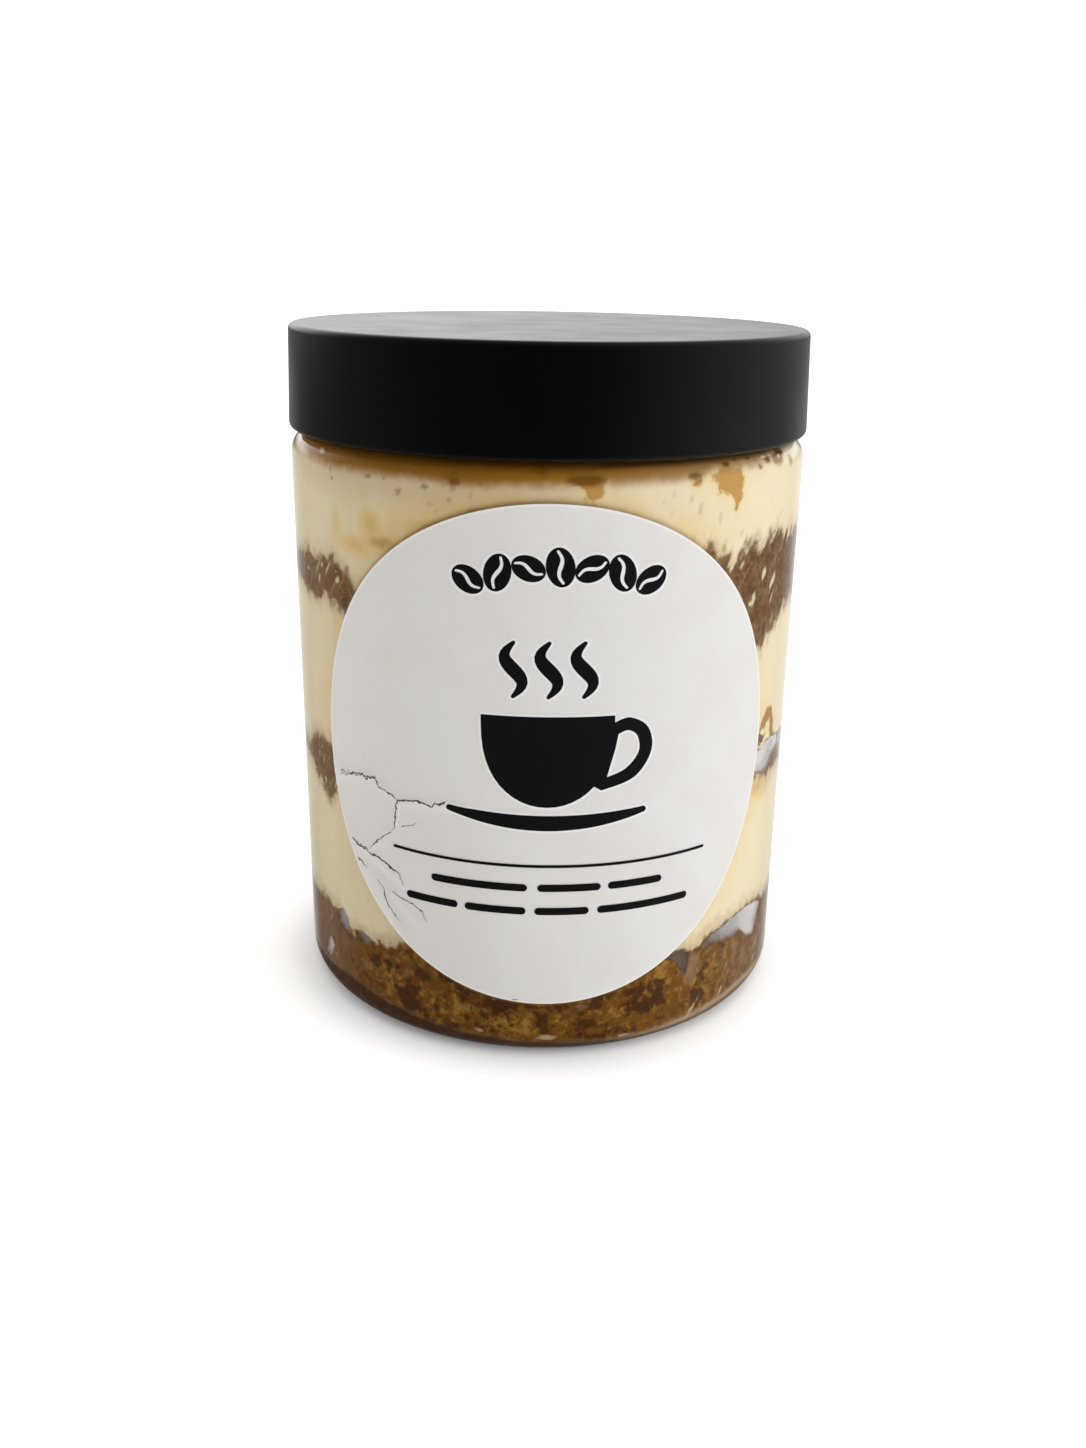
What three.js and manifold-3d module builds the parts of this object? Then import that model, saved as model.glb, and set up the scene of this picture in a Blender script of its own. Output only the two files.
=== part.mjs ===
// A shut jar of layered tiramisu: a clear, straight-sided jar with a screw neck, a plain black
// screw lid, a round paper label, and the dessert in layers of sponge and mascarpone cream.
// Millimetres, +Z up. The origin is the centre of the circle that the jar stands on, and the
// label faces -Y. Angles round the jar are measured from the label's side, and grow towards +X.
import * as THREE from "three";
import { mergeVertices } from "three/addons/utils/BufferGeometryUtils.js";
import Module from "manifold-3d";

const wasm = await Module();
wasm.setup();

// Driving dimensions.
const SIDES = 60; // facets round every turned piece, so that touching pieces line up
const BODY_R = 42.5;
const WALL = 0.8;
const HEEL_R = 4;
const BASE_PANEL_Z = 0.8; // the base is dished, so the jar stands on a ring
const STANDING_RING_WIDTH = 3.5;
const DISH_SLOPE = 1.2; // how far in from the ring the dish has reached its depth
const FLOOR_Z = 1.8;
const SHOULDER_R = 3;
const SHOULDER_TOP_Z = 95.2;
const NECK_WALL = 1;
const NECK_TOP_Z = 110.4;
const LID_FOOT_R = 42.7; // the skirt narrows a little towards the top
const LID_TOP_R = 42.2;
const LID_WALL = 1.3;
const LID_BOTTOM_Z = 95.8;
const LID_TOP_Z = 112;
const LID_EDGE_R = 0.9; // outside, at top and bottom
const LID_LIP_R = 0.3; // inside, at the mouth
const THREAD_PITCH = 4.5;
const THREAD_TURNS = 1.15;
const THREAD_START = 150; // degrees round the jar
const THREAD_HEIGHT = 1.4;
const THREAD_ROOT_HALF = 1.2;
const THREAD_CREST_HALF = 0.4;
const THREAD_SUNK = 0.4; // how deep its root lies in the wall it stands on
const THREAD_TAPER = 0.1; // share of its length over which an end thins out
const THREAD_THIN = 0.08; // what is left of its height at the very end
const JAR_THREAD_Z = 100.2;
const LABEL_R = 40;
const LABEL_CORNERS = 72;
const LABEL_THICK = 0.25;
const LABEL_GAP = 0.1;
const LABEL_Z = 50.2;
const LABEL_TURN = 1; // degrees that the label sits off the middle, as stuck on by hand
const FOOD_GAP = 0.2; // between the dessert and the wall
const LAYER_GAP = 0.15; // between one layer and the next
const FILL_Z = 97.4;

// Worked out from them.
const BODY_IN_R = BODY_R - WALL;
const NECK_R = BODY_R - SHOULDER_R;
const NECK_IN_R = NECK_R - NECK_WALL;
const SHOULDER_Z = SHOULDER_TOP_Z - SHOULDER_R;
const SHOULDER_IN_R = BODY_IN_R - NECK_IN_R;
const HEEL_IN_R = HEEL_R - WALL;
const HEEL_IN_Z = FLOOR_Z + HEEL_IN_R;
const LID_IN_R = LID_FOOT_R - LID_WALL;

const rad = THREE.MathUtils.degToRad;

// Points of an arc in the half plane of radius and height, from one angle to another in degrees.
function arc(centreR, centreZ, radius, from, to, steps) {
  return Array.from({ length: steps + 1 }, (_, i) => {
    const a = rad(from + ((to - from) * i) / steps);
    return new THREE.Vector2(centreR + radius * Math.cos(a), centreZ + radius * Math.sin(a));
  });
}

// The place at an angle round the jar, in degrees, on a radius and at a height.
function around(angle, radius, z) {
  return [radius * Math.sin(rad(angle)), -radius * Math.cos(rad(angle)), z];
}

// A closed mesh as a solid, and a solid back as a geometry.
function solidOf(geometry) {
  const bare = geometry.clone();
  bare.deleteAttribute("normal");
  bare.deleteAttribute("uv");
  const merged = mergeVertices(bare, 1e-4);
  return new wasm.Manifold(
    new wasm.Mesh({
      numProp: 3,
      vertProperties: merged.attributes.position.array,
      triVerts: new Uint32Array(merged.index.array),
    }),
  );
}

function geometryOf(solid) {
  const mesh = solid.getMesh();
  const geometry = new THREE.BufferGeometry();
  geometry.setAttribute("position", new THREE.BufferAttribute(mesh.vertProperties, 3));
  geometry.setIndex(new THREE.BufferAttribute(mesh.triVerts, 1));
  geometry.computeVertexNormals();
  return geometry;
}

// A profile of radius and height, turned about the jar's axis. It runs outside first, from
// the bottom of the axis to the top.
function turned(profile) {
  return new THREE.LatheGeometry(profile, SIDES).rotateX(Math.PI / 2);
}

function indexed(points, triangles) {
  const geometry = new THREE.BufferGeometry();
  geometry.setAttribute("position", new THREE.Float32BufferAttribute(points.flat(), 3));
  geometry.setIndex(triangles);
  geometry.computeVertexNormals();
  return geometry;
}

// The screw thread: a ridge that climbs round the neck, or round the inside of the lid. Its
// section is a trapezium, and it thins out at both ends.
function threadRidge(rootR, crestR, startZ) {
  const steps = Math.round(SIDES * THREAD_TURNS);
  const points = [];
  const triangles = [];
  const outward = Math.sign(crestR - rootR);
  const sunk = rootR - outward * THREAD_SUNK;
  for (let i = 0; i <= steps; i++) {
    const share = i / steps;
    const rise = Math.min(1, Math.min(share, 1 - share) / THREAD_TAPER + THREAD_THIN);
    const angle = THREAD_START + share * THREAD_TURNS * 360;
    const z = startZ + share * THREAD_TURNS * THREAD_PITCH;
    const crest = rootR + (crestR - rootR) * rise;
    points.push(
      around(angle, sunk, z - THREAD_ROOT_HALF),
      around(angle, crest, z - THREAD_CREST_HALF),
      around(angle, crest, z + THREAD_CREST_HALF),
      around(angle, sunk, z + THREAD_ROOT_HALF),
    );
  }
  const quad = (a, b, c, d) => triangles.push(a, b, c, a, c, d);
  for (let i = 0; i < steps; i++) {
    for (let k = 0; k < 4; k++) {
      const next = (k + 1) % 4;
      quad(4 * i + k, 4 * i + 4 + k, 4 * i + 4 + next, 4 * i + next);
    }
  }
  const last = 4 * steps;
  quad(0, 1, 2, 3);
  quad(last + 3, last + 2, last + 1, last);
  if (outward < 0) triangles.reverse();
  return indexed(points, triangles);
}

// The clear jar: dished base on a standing ring, round heel, straight wall, round shoulder and
// a screw neck that is open at the top.
function jar() {
  const heelR = BODY_R - HEEL_R;
  const ringR = heelR - STANDING_RING_WIDTH;
  const outside = [
    new THREE.Vector2(0, BASE_PANEL_Z),
    new THREE.Vector2(ringR - DISH_SLOPE, BASE_PANEL_Z),
    new THREE.Vector2(ringR, 0),
    ...arc(heelR, HEEL_R, HEEL_R, -90, 0, 5),
    ...arc(NECK_R, SHOULDER_Z, SHOULDER_R, 0, 90, 4),
    new THREE.Vector2(NECK_R, NECK_TOP_Z),
  ];
  const inside = [
    new THREE.Vector2(NECK_IN_R, NECK_TOP_Z),
    ...arc(NECK_IN_R, SHOULDER_Z, SHOULDER_IN_R, 90, 0, 4),
    ...arc(BODY_IN_R - HEEL_IN_R, HEEL_IN_Z, HEEL_IN_R, 0, -90, 4),
    new THREE.Vector2(0, FLOOR_Z),
  ];
  const body = solidOf(turned([...outside, ...inside]));
  const thread = solidOf(threadRidge(NECK_R, NECK_R + THREAD_HEIGHT, JAR_THREAD_Z));
  return geometryOf(body.add(thread));
}

// The screw lid: a plain skirt and a flat top with softened edges, and a thread inside that
// lies under the jar's thread.
function lid() {
  const under = LID_TOP_Z - LID_WALL;
  const profile = [
    new THREE.Vector2(0, under),
    new THREE.Vector2(LID_IN_R, under),
    ...arc(LID_IN_R + LID_LIP_R, LID_BOTTOM_Z + LID_LIP_R, LID_LIP_R, 180, 270, 2),
    ...arc(LID_FOOT_R - LID_EDGE_R, LID_BOTTOM_Z + LID_EDGE_R, LID_EDGE_R, 270, 360, 3),
    ...arc(LID_TOP_R - LID_EDGE_R, LID_TOP_Z - LID_EDGE_R, LID_EDGE_R, 0, 90, 4),
    new THREE.Vector2(0, LID_TOP_Z),
  ];
  const shell = solidOf(turned(profile));
  const threadZ = JAR_THREAD_Z - THREAD_PITCH / 2;
  const thread = threadRidge(LID_IN_R, LID_IN_R - THREAD_HEIGHT, threadZ);
  return geometryOf(shell.add(solidOf(thread)));
}

// The round label, wrapped on the wall: a thin ring of paper, cut by the outline that a circle
// takes when it is rolled on.
function label() {
  const inner = BODY_R + LABEL_GAP;
  const outer = inner + LABEL_THICK;
  const low = LABEL_Z - LABEL_R - 1;
  const high = LABEL_Z + LABEL_R + 1;
  const ring = [
    new THREE.Vector2(inner, low),
    new THREE.Vector2(outer, low),
    new THREE.Vector2(outer, high),
    new THREE.Vector2(inner, high),
    new THREE.Vector2(inner, low),
  ];
  const outline = new THREE.Shape();
  for (let i = 0; i < LABEL_CORNERS; i++) {
    const t = (2 * Math.PI * i) / LABEL_CORNERS;
    const x = outer * Math.sin((LABEL_R * Math.cos(t)) / BODY_R);
    const z = LABEL_Z + LABEL_R * Math.sin(t);
    if (i) outline.lineTo(x, z);
    else outline.moveTo(x, z);
  }
  const cutter = new THREE.ExtrudeGeometry(outline, { depth: 2 * BODY_R, bevelEnabled: false });
  cutter.rotateX(Math.PI / 2);
  return geometryOf(solidOf(turned(ring)).intersect(solidOf(cutter)));
}

// Where one layer of the dessert ends and the next begins. At the wall the height is `mean`,
// plus `lean` for how much higher it is on the +X side, plus `ripple` all the way round, plus
// the humps and dips that show: [angle, half width in degrees, rise in mm]. It flattens inwards.
function seam({ mean, lean = 0, ripple = 0.5, humps = [] }) {
  return (angle, radius) => {
    const a = rad(angle);
    const ripples = Math.sin(5 * a + mean) + 0.6 * Math.sin(9 * a + 2 * mean);
    let height = lean * Math.sin(a) + ripple * ripples;
    for (const [at, width, rise] of humps) {
      const off = ((angle - at + 540) % 360) - 180;
      height += rise * Math.exp(-((off / width) ** 2));
    }
    return mean + height * (radius / BODY_IN_R) ** 3;
  };
}

const SEAMS = {
  floor: () => FLOOR_Z + FOOD_GAP,
  baseSponge: seam({
    mean: 16.6,
    lean: 0.1,
    humps: [
      [-64, 7, 1.6],
      [76, 8, 1.6],
      [180, 30, 2],
    ],
  }),
  lowerCream: seam({
    mean: 41.4,
    lean: 0.4,
    humps: [
      [-59, 6, -2.4],
      [130, 20, -2],
    ],
  }),
  middleSponge: seam({
    mean: 46.6,
    lean: 1,
    humps: [
      [60, 5, 4],
      [-150, 18, 2],
    ],
  }),
  middleCream: seam({
    mean: 71.2,
    lean: -1,
    humps: [
      [52, 8, -3.6],
      [-120, 24, -2],
    ],
  }),
  topSponge: seam({
    mean: 79.4,
    lean: 1.4,
    humps: [
      [-54, 9, 0.8],
      [150, 22, -1.6],
    ],
  }),
  topCream: seam({
    mean: 92.3,
    ripple: 0.15,
    humps: [
      [8, 6, -1],
      [40, 6, -2.6],
    ],
  }),
  fill: seam({ mean: FILL_Z, ripple: 0.1 }),
};

// Pockets of air that the crumb has left against the wall, which show as dents:
// [angle, height, half width in degrees, half height, depth].
const AIR_POCKETS = [
  [-60, 8, 4, 3, 1],
  [-52, 16, 4, 2, 0.8],
  [31, 14, 5, 3, 1],
  [57, 15, 9, 2, 1],
  [66, 44.5, 9, 3, 1.2],
  [-140, 12, 8, 3, 1.2],
  [160, 43, 8, 3, 1.2],
];

function dent(angle, z) {
  return AIR_POCKETS.reduce((sum, [at, atZ, width, height, depth]) => {
    const off = ((angle - at + 540) % 360) - 180;
    return sum + depth * Math.exp(-((off / width) ** 2) - ((z - atZ) / height) ** 2);
  }, 0);
}

// How far out the dessert may reach at a height, inside heel, wall, shoulder and neck.
const SHOULDER_FREE_Z = SHOULDER_Z + SHOULDER_IN_R - FOOD_GAP;

function wallRadius(z) {
  const round = (centreR, radius, off) =>
    centreR + Math.sqrt(Math.max(0, (radius - FOOD_GAP) ** 2 - off ** 2));
  if (z < HEEL_IN_Z) return round(BODY_IN_R - HEEL_IN_R, HEEL_IN_R, HEEL_IN_Z - z);
  if (z <= SHOULDER_Z) return BODY_IN_R - FOOD_GAP;
  if (z <= SHOULDER_FREE_Z) return round(NECK_IN_R, SHOULDER_IN_R, z - SHOULDER_Z);
  return NECK_IN_R - FOOD_GAP;
}

// One layer, between two seams: flat-ish faces above and below, and a side against the wall.
// The side has rows of points at the fixed heights where the wall bends, and between the last
// of those and the top it is split at even steps.
const FACE_RADII = [26];
const HEEL_HEIGHTS = [2.6, 3.6, HEEL_IN_Z];
const SHOULDER_HEIGHTS = [
  SHOULDER_Z,
  SHOULDER_Z + 1.2,
  SHOULDER_Z + 2.1,
  SHOULDER_FREE_Z,
  SHOULDER_FREE_Z + FOOD_GAP,
];

function layer(lower, upper, fixed, splits) {
  const points = [
    [0, 0, lower(0, 0) + LAYER_GAP / 2],
    [0, 0, upper(0, 0) - LAYER_GAP / 2],
  ];
  const rows = 2 * FACE_RADII.length + 1 + fixed.length + splits;
  for (let i = 0; i < SIDES; i++) {
    const angle = (360 * i) / SIDES;
    const heights = [lower(angle, BODY_IN_R) + LAYER_GAP / 2, ...fixed];
    const start = heights.at(-1);
    const top = upper(angle, BODY_IN_R) - LAYER_GAP / 2;
    for (let k = 1; k <= splits; k++) heights.push(start + ((top - start) * k) / splits);
    for (const r of FACE_RADII) points.push(around(angle, r, lower(angle, r) + LAYER_GAP / 2));
    heights.forEach((z, k) => {
      const pocket = k > 0 && k < heights.length - 1 ? dent(angle, z) : 0;
      points.push(around(angle, wallRadius(z) - pocket, z));
    });
    for (const r of [...FACE_RADII].reverse()) {
      points.push(around(angle, r, upper(angle, r) - LAYER_GAP / 2));
    }
  }
  const triangles = [];
  for (let i = 0; i < SIDES; i++) {
    const here = 2 + i * rows;
    const next = 2 + ((i + 1) % SIDES) * rows;
    triangles.push(0, next, here, 1, here + rows - 1, next + rows - 1);
    for (let k = 0; k < rows - 1; k++) {
      const [a, b, c, d] = [here + k, next + k, next + k + 1, here + k + 1];
      // The upper face is split the other way, to lie along the next layer's lower face.
      if (k < rows - 1 - FACE_RADII.length) triangles.push(a, b, c, a, c, d);
      else triangles.push(a, b, d, b, c, d);
    }
  }
  return indexed(points, triangles);
}

// A named piece with its own colour and roughness.
function piece(name, geometry, colour, roughness, extra = {}) {
  const material = new THREE.MeshStandardMaterial({
    color: colour,
    roughness,
    metalness: 0,
    ...extra,
  });
  const mesh = new THREE.Mesh(geometry, material);
  mesh.name = name;
  return mesh;
}

const CREAM = 0xf0e0b4;
const SPONGE = 0x7a5232;
const COCOA = 0x7d5426;

const clear = { transparent: true, opacity: 0.25 };
const paper = piece("label", label(), 0xe6e3de, 0.6);
paper.rotation.z = rad(LABEL_TURN);

const tiramisu = new THREE.Group();
tiramisu.add(
  piece("jar", jar(), 0xf4f4f0, 0.08, clear),
  piece("lid", lid(), 0x121212, 0.45),
  paper,
);

const layers = [
  ["sponge_base", "floor", "baseSponge", SPONGE, 0.8, HEEL_HEIGHTS, 4],
  ["cream_lower", "baseSponge", "lowerCream", CREAM, 0.4, [], 3],
  ["sponge_middle", "lowerCream", "middleSponge", SPONGE, 0.8, [], 3],
  ["cream_middle", "middleSponge", "middleCream", CREAM, 0.4, [], 3],
  ["sponge_top", "middleCream", "topSponge", SPONGE, 0.8, [], 4],
  ["cream_top", "topSponge", "topCream", CREAM, 0.4, [], 3],
  ["cocoa_top", "topCream", "fill", COCOA, 0.6, SHOULDER_HEIGHTS, 1],
];
for (const [name, lower, upper, colour, roughness, fixed, splits] of layers) {
  const solid = layer(SEAMS[lower], SEAMS[upper], fixed, splits);
  tiramisu.add(piece(name, solid, colour, roughness));
}

export default tiramisu;
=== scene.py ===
"""A shut jar of layered tiramisu on a pale studio floor.

The jar is clear plastic with a satin black screw lid and a round paper label. Behind the wall
lie three layers of coffee-soaked sponge, three of mascarpone cream, and cocoa on top. Angles
round the jar are in degrees from the label's side and grow towards +X. Heights are above the
surface that the jar stands on.
"""

import math

import bmesh
import bpy
from mathutils import Matrix, Vector, noise


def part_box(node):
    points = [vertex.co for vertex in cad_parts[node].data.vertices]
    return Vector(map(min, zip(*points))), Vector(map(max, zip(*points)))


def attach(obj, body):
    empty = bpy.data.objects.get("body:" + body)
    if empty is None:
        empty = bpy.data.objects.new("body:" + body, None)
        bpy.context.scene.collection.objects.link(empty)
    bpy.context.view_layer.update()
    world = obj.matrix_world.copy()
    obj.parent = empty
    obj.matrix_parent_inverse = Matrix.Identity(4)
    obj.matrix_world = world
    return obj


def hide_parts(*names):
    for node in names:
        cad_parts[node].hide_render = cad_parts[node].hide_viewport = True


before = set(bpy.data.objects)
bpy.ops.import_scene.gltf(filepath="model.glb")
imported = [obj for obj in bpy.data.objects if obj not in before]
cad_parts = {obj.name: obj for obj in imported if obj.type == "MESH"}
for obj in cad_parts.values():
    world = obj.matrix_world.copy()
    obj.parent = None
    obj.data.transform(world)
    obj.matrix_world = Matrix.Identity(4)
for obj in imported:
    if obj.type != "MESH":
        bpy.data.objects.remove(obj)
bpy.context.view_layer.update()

bl_info = {
    "name": "Tiramisu Jar",
    "version": (1, 0, 0),
    "blender": (4, 5, 0),
    "location": "View3D > Sidebar > Tiramisu",
    "description": "Builds a shut jar of layered tiramisu with its lid, label and studio",
    "category": "Add Mesh",
}

MM = 0.001
JAR_LOW, JAR_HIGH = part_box("jar")
LID_LOW, LID_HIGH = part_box("lid")
LABEL_LOW, LABEL_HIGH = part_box("label")
BODY_R = (JAR_HIGH[0] - JAR_LOW[0]) / 2
LID_FOOT_R = (LID_HIGH[0] - LID_LOW[0]) / 2

# What one step of the jar's form takes from the next, in metres.
WALL = 0.8 * MM
HEEL_R = 4 * MM
BASE_PANEL_Z = 0.8 * MM
STANDING_RING_WIDTH = 3.5 * MM
DISH_SLOPE = 1.2 * MM
FLOOR_Z = 1.8 * MM
SHOULDER_R = 3 * MM
SHOULDER_TOP_Z = LID_LOW[2] - 0.6 * MM
NECK_WALL = 1 * MM
LID_TOP_R = LID_FOOT_R - 0.5 * MM
LID_WALL = 1.3 * MM
LID_EDGE_R = 0.9 * MM
LID_LIP_R = 0.3 * MM
THREAD_PITCH = 4.5 * MM
THREAD_TURNS = 1.15
THREAD_START = 150
THREAD_HEIGHT = 1.4 * MM
THREAD_ROOT_HALF = 1.2 * MM
THREAD_CREST_HALF = 0.4 * MM
THREAD_TAPER = 0.1
JAR_THREAD_Z = 100.2 * MM
THREAD_ROWS = 40
LABEL_TURN = 1  # degrees that the label sits off the jar's front

# In how many steps the round edges are cut.
HEEL_STEPS = 12
INSIDE_STEPS = 10
EDGE_STEPS = 8
LIP_STEPS = 4

BODY_IN_R = BODY_R - WALL
NECK_R = BODY_R - SHOULDER_R
NECK_IN_R = NECK_R - NECK_WALL
SHOULDER_Z = SHOULDER_TOP_Z - SHOULDER_R
SHOULDER_IN_R = BODY_IN_R - NECK_IN_R
HEEL_IN_R = HEEL_R - WALL
HEEL_IN_Z = FLOOR_Z + HEEL_IN_R
LID_IN_R = LID_FOOT_R - LID_WALL


# Sizes and colours that a user may change

def a_number(name, description, default, **kind):
    """A number that a user may change."""
    return bpy.props.FloatProperty(name=name, description=description, default=default, **kind)


def a_share(name, description, default):
    """A number without a unit, mostly from 0 to 1."""
    return a_number(name, description, default, subtype="FACTOR")


def a_length(name, description, default):
    """A length in metres."""
    return a_number(name, description, default, subtype="DISTANCE", unit="LENGTH")


def an_angle(name, description, degrees):
    """An angle, given here in degrees."""
    return a_number(name, description, math.radians(degrees), subtype="ANGLE", unit="ROTATION")


def a_vector(name, description, default, **kind):
    """Three numbers that a user may change together."""
    return bpy.props.FloatVectorProperty(
        name=name, description=description, default=default, **kind
    )


def a_colour(name, description, default):
    """A colour of red, green and blue."""
    return a_vector(name, description, default, subtype="COLOR")


def a_group(name, kind):
    """The settings of one part of the object."""
    return bpy.props.PointerProperty(
        name=name, description=f"Settings of the {name.lower()}", type=kind
    )


class JarSettings(bpy.types.PropertyGroup):
    """The clear jar."""

    sides: bpy.props.IntProperty(
        name="Sides", description="Facets round the jar and its lid", default=192, min=24
    )
    refraction: a_share(
        "Refraction", "Index of refraction of the clear plastic, low as the wall is thin", 1.1
    )
    gloss: a_share("Gloss", "How strongly the wall's outer face mirrors the studio", 0.4)


class LidSettings(bpy.types.PropertyGroup):
    """The black screw lid."""

    colour: a_colour("Colour", "Colour of the lid's plastic", (0.0015, 0.0015, 0.0015))
    roughness: a_share("Roughness", "How satin the lid is", 0.38)
    gloss: a_share("Gloss", "Specular level of the lid", 0.5)


class LabelSettings(bpy.types.PropertyGroup):
    """The round paper label and what is printed on it."""

    turn: an_angle("Turn", "How far the label sits off the jar's front", LABEL_TURN)
    paper: a_colour("Paper", "Colour of the coated paper", (0.82, 0.805, 0.785))
    ink: a_colour("Ink", "Colour of the printed design", (0.006, 0.006, 0.006))
    # The keyline's white is also used for the painted highlights on the label's cut edge and beside the
    # cracks.
    keyline: a_colour("Keyline", "Colour of the white line round the printed design", (0.9, 0.9, 0.89))
    crack: a_colour("Crack", "Colour of the cracks in the paper's coating", (0.1, 0.095, 0.09))


class DessertSettings(bpy.types.PropertyGroup):
    """The layers of sponge, cream and cocoa."""

    reach: a_length("Reach", "How far the dessert's surface reaches into the jar's wall", 0.4 * MM)
    spacing: a_length(
        "Spacing", "Distance between neighbouring points of the dessert's surface", 0.42 * MM
    )
    cream: a_colour("Cream", "Colour of the mascarpone cream", (0.75, 0.65, 0.44))
    cream_warm: a_colour("Warm cream", "Colour of cream with a little coffee in it", (0.73, 0.54, 0.25))
    cream_brown: a_colour(
        "Brown cream", "Colour of cream that is smeared with crumb", (0.48, 0.36, 0.215)
    )
    caramel: a_colour("Caramel", "Colour of cream that coffee has run into", (0.455, 0.24, 0.05))
    crumb: a_colour("Crumb", "Main colour of the soaked sponge at the base", (0.155, 0.06, 0.004))
    crumb_gold: a_colour("Golden crumb", "Colour of the base sponge's drier crumb", (0.32, 0.16, 0.028))
    crumb_dark: a_colour(
        "Dark crumb", "Colour of the sponge where coffee has pooled", (0.055, 0.018, 0.003)
    )
    crumb_upper: a_colour(
        "Upper crumb",
        "Colour of the sponges higher up, where cream has soaked in",
        (0.118, 0.051, 0.014),
    )
    crumb_milky: a_colour(
        "Milky crumb", "Colour of the upper sponges under a film of cream", (0.25, 0.15, 0.078)
    )
    cocoa: a_colour("Cocoa", "Colour of the damp cocoa under the lid", (0.3, 0.13, 0.012))
    # Painted light: an air pocket's pale colour is a painted reflection of the misted wall in front of
    # it, and its dark colour is painted shade where no light gets in.
    pocket: a_colour(
        "Air pocket", "Colour of the misted wall in front of a pocket of air", (0.66, 0.625, 0.6)
    )
    pocket_dark: a_colour(
        "Dark pocket", "Colour of a pocket where no light gets in", (0.045, 0.036, 0.034)
    )


class StageSettings(bpy.types.PropertyGroup):
    """Floor, lights and camera."""

    floor: a_colour("Floor", "Colour of the studio floor", (0.92, 0.91, 0.895))
    front_glow: a_number("Front glow", "Soft light that the backdrop gives on the camera's side", 0.085)
    back_glow: a_number("Back glow", "Soft light that the backdrop gives behind the jar", 0.5)
    left_mirror: a_number("Left mirror", "How bright the backdrop is in reflections on the left", 0.11)
    right_mirror: a_number(
        "Right mirror", "How bright the backdrop is in reflections on the right", 0.32
    )
    back_mirror: a_number("Back mirror", "How bright the backdrop is in reflections behind the jar", 1.7)
    floor_glow: a_number(
        "Floor glow", "Light that the floor itself gives off, as a light table does", 0.62
    )
    left_warmth: a_colour(
        "Left warmth",
        "Colour of the soft light that the paper on the left of the stage gives",
        (1, 0.925, 0.8),
    )
    right_warmth: a_colour(
        "Right warmth",
        "Colour of the soft light that the paper on the right of the stage gives",
        (0.985, 0.99, 1),
    )
    key_power: a_number(
        "Key light", "Strength of the wide soft light at the right, in watts per square metre", 1.22
    )
    key_colour: a_colour(
        "Key light's colour",
        "Colour of the key light, a little cooler than the paper's",
        (0.95, 0.972, 1),
    )
    key_aim: a_vector(
        "Key light's place", "Direction that the key light comes from", (0.77, -0.35, 0.5), subtype="XYZ"
    )
    key_spread: an_angle("Key light's spread", "Angle that the key light covers in the sky", 50)
    top_power: a_number(
        "Top light", "Strength of the wide soft light overhead, in watts per square metre", 1.05
    )
    top_aim: a_vector(
        "Top light's place", "Direction that the top light comes from", (0.2, 0.35, 1), subtype="XYZ"
    )
    top_spread: an_angle("Top light's spread", "Angle that the top light covers in the sky", 60)
    rim_power: a_number(
        "Rim light", "Strength of the light behind the jar at the left, in watts per square metre", 0.9
    )
    rim_aim: a_vector(
        "Rim light's place", "Direction that the rim light comes from", (-1, 0.75, 0.25), subtype="XYZ"
    )
    rim_spread: an_angle("Rim light's spread", "Angle that the rim light covers in the sky", 40)
    focal_length: a_number(
        "Focal length", "Focal length of the camera, in millimetres", 33.24, subtype="DISTANCE_CAMERA"
    )
    camera_place: a_vector(
        "Camera place", "Where the camera stands", (0, -0.2283, 0.1244), subtype="XYZ", unit="LENGTH"
    )
    camera_pitch: an_angle("Camera pitch", "How far the camera looks down", 19.79)
    camera_roll: an_angle("Camera roll", "How far the camera leans", 0.92)


class TiramisuSettings(bpy.types.PropertyGroup):
    """All settings of the jar of tiramisu."""

    jar: a_group("Jar", JarSettings)
    lid: a_group("Lid", LidSettings)
    label: a_group("Label", LabelSettings)
    dessert: a_group("Dessert", DessertSettings)
    stage: a_group("Stage", StageSettings)


# Small helpers

def on_wall(angle, radius, z):
    """The point at an angle round the jar, on a radius and at a height."""
    a = math.radians(angle)
    return (radius * math.sin(a), -radius * math.cos(a), z)


def shares(steps):
    """Even shares from 0 to 1."""
    return [i / steps for i in range(steps + 1)]


def arc(centre_r, centre_z, radius, start, end, steps):
    """Points of an arc in the plane of radius and height, between two angles in degrees."""
    turns = [math.radians(start + (end - start) * share) for share in shares(steps)]
    return [(centre_r + radius * math.cos(a), centre_z + radius * math.sin(a)) for a in turns]


def ease(low, high, value):
    """0 below low and 1 above high, with a smooth change between."""
    share = min(1, max(0, (value - low) / (high - low)))
    return share * share * (3 - 2 * share)


def turn_between(angle, other):
    """The signed angle from one to another, between -180 and 180 degrees."""
    return (angle - other + 540) % 360 - 180


def spot(angle, z, feature):
    """How near a place on the wall is to a feature: 1 at its middle, 0 well outside it."""
    off = turn_between(angle, feature[0]) / feature[2]
    up = (z - feature[1]) / feature[3]
    return math.exp(-(off * off + up * up))


def grain(angle, z, size, seed, octaves=3):
    """Smooth noise on the jar's wall, about -1 to 1, with bumps of a size in mm."""
    x, y, height = on_wall(angle, BODY_R / MM / size, z / size)
    return noise.fractal(Vector((x + seed, y - seed, height + seed)), 1.0, 2.0, octaves)


def add_piece(name, mesh, material, replaces=None):
    """Put a finished mesh in the scene, on the jar, with its material."""
    mesh.materials.append(material)
    piece = bpy.data.objects.new(name, mesh)
    bpy.context.scene.collection.objects.link(piece)
    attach(piece, "root")
    if replaces:
        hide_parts(replaces)
    return piece


def smooth(mesh, sharp_angle=40):
    """Shade a mesh smooth, but keep its real edges."""
    mesh.shade_smooth()
    mesh.set_sharp_from_angle(angle=math.radians(sharp_angle))


def finished(bm, name):
    """The mesh of what has been built, by name."""
    mesh = bpy.data.meshes.new(name)
    bm.to_mesh(mesh)
    bm.free()
    return mesh


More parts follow.
